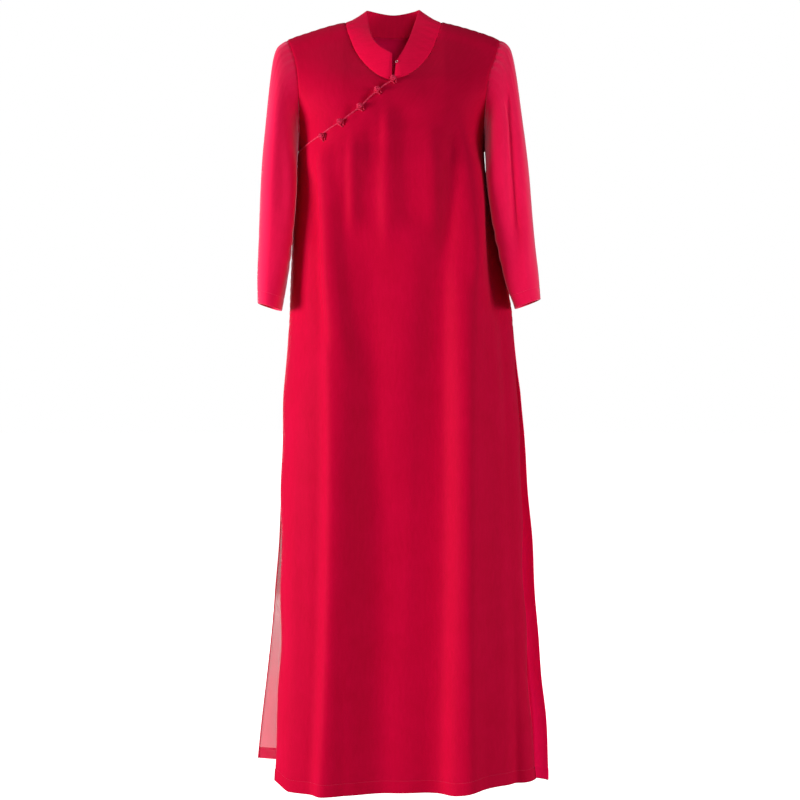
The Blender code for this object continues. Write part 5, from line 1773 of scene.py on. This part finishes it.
@dataclass
class Studio:
    """Pale floor, lamps, an even sky and the camera."""

    camera_place: tuple[float, float, float] = (0.01144, -2.4, -0.6635)
    lens: float = 61.36
    floor_height: float = -1.47
    floor_half: float = 30.0
    sensor: float = 36.0
    sky: float = 0.155

    def build(self, materials: dict[str, bpy.types.Material]) -> None:
        """Build the floor, the lamps, the sky and the camera.

        Args:
            materials: finished materials by name.
        """
        corners = np.array([(-1, -1), (1, -1), (1, 1), (-1, 1)]) * self.floor_half
        data = bpy.data.meshes.new("floor")
        data.from_pydata([(x, y, self.floor_height) for x, y in corners.tolist()], [], [(0, 1, 2, 3)])
        floor = bpy.data.objects.new("floor", data)
        data.materials.append(materials[FloorFinish().name])
        bpy.context.scene.collection.objects.link(floor)
        for lamp in LAMPS:
            lamp.build()
        self.build_sky()
        lens = bpy.data.cameras.new("camera")
        lens.lens = self.lens
        lens.sensor_width = self.sensor
        camera = bpy.data.objects.new("camera", lens)
        camera.location = self.camera_place
        camera.rotation_euler = (math.radians(90), 0.0, 0.0)
        bpy.context.scene.collection.objects.link(camera)
        bpy.context.scene.camera = camera
        # The plain display transform keeps the crimson as strong as dyed cloth looks.
        bpy.context.scene.view_settings.view_transform = "Standard"

    def build_sky(self) -> None:
        """Even sky that the camera sees as white."""
        world = bpy.data.worlds.new("studio_sky")
        world.use_nodes = True
        tree = world.node_tree
        plain = tree.nodes["Background"]
        plain.inputs["Color"].default_value = (1.0, 1.0, 1.0, 1.0)
        plain.inputs["Strength"].default_value = self.sky
        seen = tree.nodes.new("ShaderNodeBackground")
        seen.inputs["Color"].default_value = (1.0, 1.0, 1.0, 1.0)
        seen.inputs["Strength"].default_value = 1.0
        path = tree.nodes.new("ShaderNodeLightPath")
        either = tree.nodes.new("ShaderNodeMixShader")
        tree.links.new(path.outputs["Is Camera Ray"], either.inputs[0])
        tree.links.new(plain.outputs[0], either.inputs[1])
        tree.links.new(seen.outputs[0], either.inputs[2])
        tree.links.new(either.outputs[0], tree.nodes["World Output"].inputs["Surface"])
        bpy.context.scene.world = world


# ------------------------------------------------------------------------------ the tunic
def seat_on_front(x: float, z: float) -> tuple[Array, Array]:
    """Outer face of the front solid at (x, z), and its outward normal.

    Args:
        x: place across.
        z: height.

    Returns:
        The point and the normal.
    """
    probe = 0.004
    plan = np.array([(x, z), (x + probe, z), (x - probe, z), (x, z + probe), (x, z - probe)])
    points = FORM.points(plan[:, 0], plan[:, 1], Side.FRONT)
    normal = unit(np.cross(points[1] - points[2], points[3] - points[4]))
    normal = normal * -np.sign(normal[1])
    solid_wall = 0.0014
    lap = float(FORM.lap(plan[:1, 0], plan[:1, 1])[0])
    folds = float((rise_of(FRONT_FOLDS, plan[:1, 0], plan[:1, 1]) * FORM.hold(plan[:1, 0], plan[:1, 1], Side.FRONT))[0])
    return points[0] + normal * (folds * (1 - lap) + FORM.lap_lift * lap + solid_wall / 2), normal


def hem_stitches(name: str, piece: ClothPiece, toward: Array, ring: bool = False) -> StitchRow:
    """Row of stitches on the grid row that lies nearest to the top of the piece's hem.

    Args:
        name: name of the row.
        piece: the piece, already built.
        toward: a vector, or one for each point, that points outward.
        ring: True for a cuff, whose row closes on itself.

    Returns:
        The row of stitches.
    """
    normals = normals_of(piece.grid, toward, ring)
    above_edge = edge_distances(piece.grid)["low"].mean(axis=1)
    row = int(np.argmin(np.abs(above_edge - HEM.depth)))
    path, normal = piece.grid[row], normals[row]
    if ring:
        path, normal = (np.concatenate([part, part[:1]]) for part in (path, normal))
    return StitchRow(name, path + normal * piece.wall / 2, normal)


def build_tunic(materials: dict[str, bpy.types.Material]) -> None:
    """Build every piece of the tunic, from the panels to the trims.

    Args:
        materials: finished materials by name.
    """
    front = FrontPanel("front_cloth", "front_panel", "crepe", CREPE, (0.56, 1.38), 0.62,
                       rests_on=("shoulder_yoke", "collar"))
    yoke = Yoke("yoke_cloth", "shoulder_yoke", "crepe", CREPE, (0.21, 0.27), 0.034, rests_on=("collar",))
    back = BackPanel("back_cloth", "back_panel", "sheer_crepe", SHEER_CREPE_PAINTED_BRIGHTER, (0.64, 1.38), 0.69,
                     rests_on=("shoulder_yoke", "collar"))
    front.build(materials)
    yoke.build(materials)
    back.build(materials)
    arm, upper = back.armhole_rows, front.upper_rows
    left_edge = np.concatenate([yoke.grid[:yoke.armhole_rows + 1, 0], back.grid[arm - 1:0:-1, 0]])
    right_edge = np.concatenate([front.grid[:upper + 1, -1], back.grid[arm - 1:0:-1, -1]])
    left_sleeve = Sleeve("left_sleeve_cloth", "sleeve_left", "crepe", UNLINED_CREPE_PAINTED_LIGHTER, (0.34, 0.48), 0.115,
                         rests_on=("shoulder_yoke",), rings=LEFT_RINGS, side="left", edge=left_edge)
    right_sleeve = Sleeve("right_sleeve_cloth", "sleeve_right", "crepe", UNLINED_CREPE_PAINTED_LIGHTER, (0.34, 0.48), 0.121,
                          rests_on=("front_panel",), rings=RIGHT_RINGS, side="right", edge=right_edge)
    left_sleeve.build(materials)
    right_sleeve.build(materials)
    neck = back.shoulder_columns
    neck_edge = np.concatenate([
        yoke.grid[yoke.neck_rows::-1, -1], back.grid[0, neck + 1:neck + back.neck_columns],
        front.grid[:front.neck_rows + 1, 0]])
    Collar("collar_cloth", "collar", "collar_crepe", COLLAR_CREPE_PAINTED_LIGHTER, (0.46, 0.12), 0.043,
           rests_on=("shoulder_yoke",), edge=neck_edge).build(materials)
    edge = front.grid[front.neck_rows:upper + 1, 0]
    normal = normals_of(front.grid, np.array([0.0, -1.0, 0.0]))[front.neck_rows:upper + 1, 0]
    EdgeCord(edge, normal).build(materials)
    for number, (across, below) in enumerate(KNOTS.rows, start=1):
        height = float(DIAGONAL.read("height", np.array([across]))[0]) - below
        seat, normal = seat_on_front(across, height)
        ends = DIAGONAL.read("height", np.array([across + 0.01, across - 0.01]))
        fastening = Fastening(number, seat, normal, np.array([(ends[0] - ends[1]) / 0.02, 0.0, -1.0]))
        fastening.knot(materials)
        fastening.loop(materials)
    HookEye().build(materials)
    hem_stitches("front_hem_stitches", front, np.array([0.0, -1.0, 0.0])).build(materials)
    hem_stitches("back_hem_stitches", back, np.array([0.0, 1.0, 0.0])).build(materials)
    for name, sleeve in (("left_cuff_stitches", left_sleeve), ("right_cuff_stitches", right_sleeve)):
        outward = sleeve.grid - sleeve.grid.mean(axis=1, keepdims=True)
        hem_stitches(name, sleeve, outward, ring=True).build(materials)


def main() -> None:
    """Build the scene."""
    logging.basicConfig(level=logging.INFO, format="%(name)s %(message)s")
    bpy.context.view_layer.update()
    finishes = (CREPE, UNLINED_CREPE_PAINTED_LIGHTER, SHEER_CREPE_PAINTED_BRIGHTER, COLLAR_CREPE_PAINTED_LIGHTER, KNOT_CORD_PAINTED_LIGHTER, EDGE_CORD_PAINTED_HIGHLIGHT, HEM_THREAD,
                WireFinish(), FloorFinish())
    materials = {finish.name: finish.material() for finish in finishes}
    build_tunic(materials)
    Studio().build(materials)


if __name__ == "__main__":
    main()
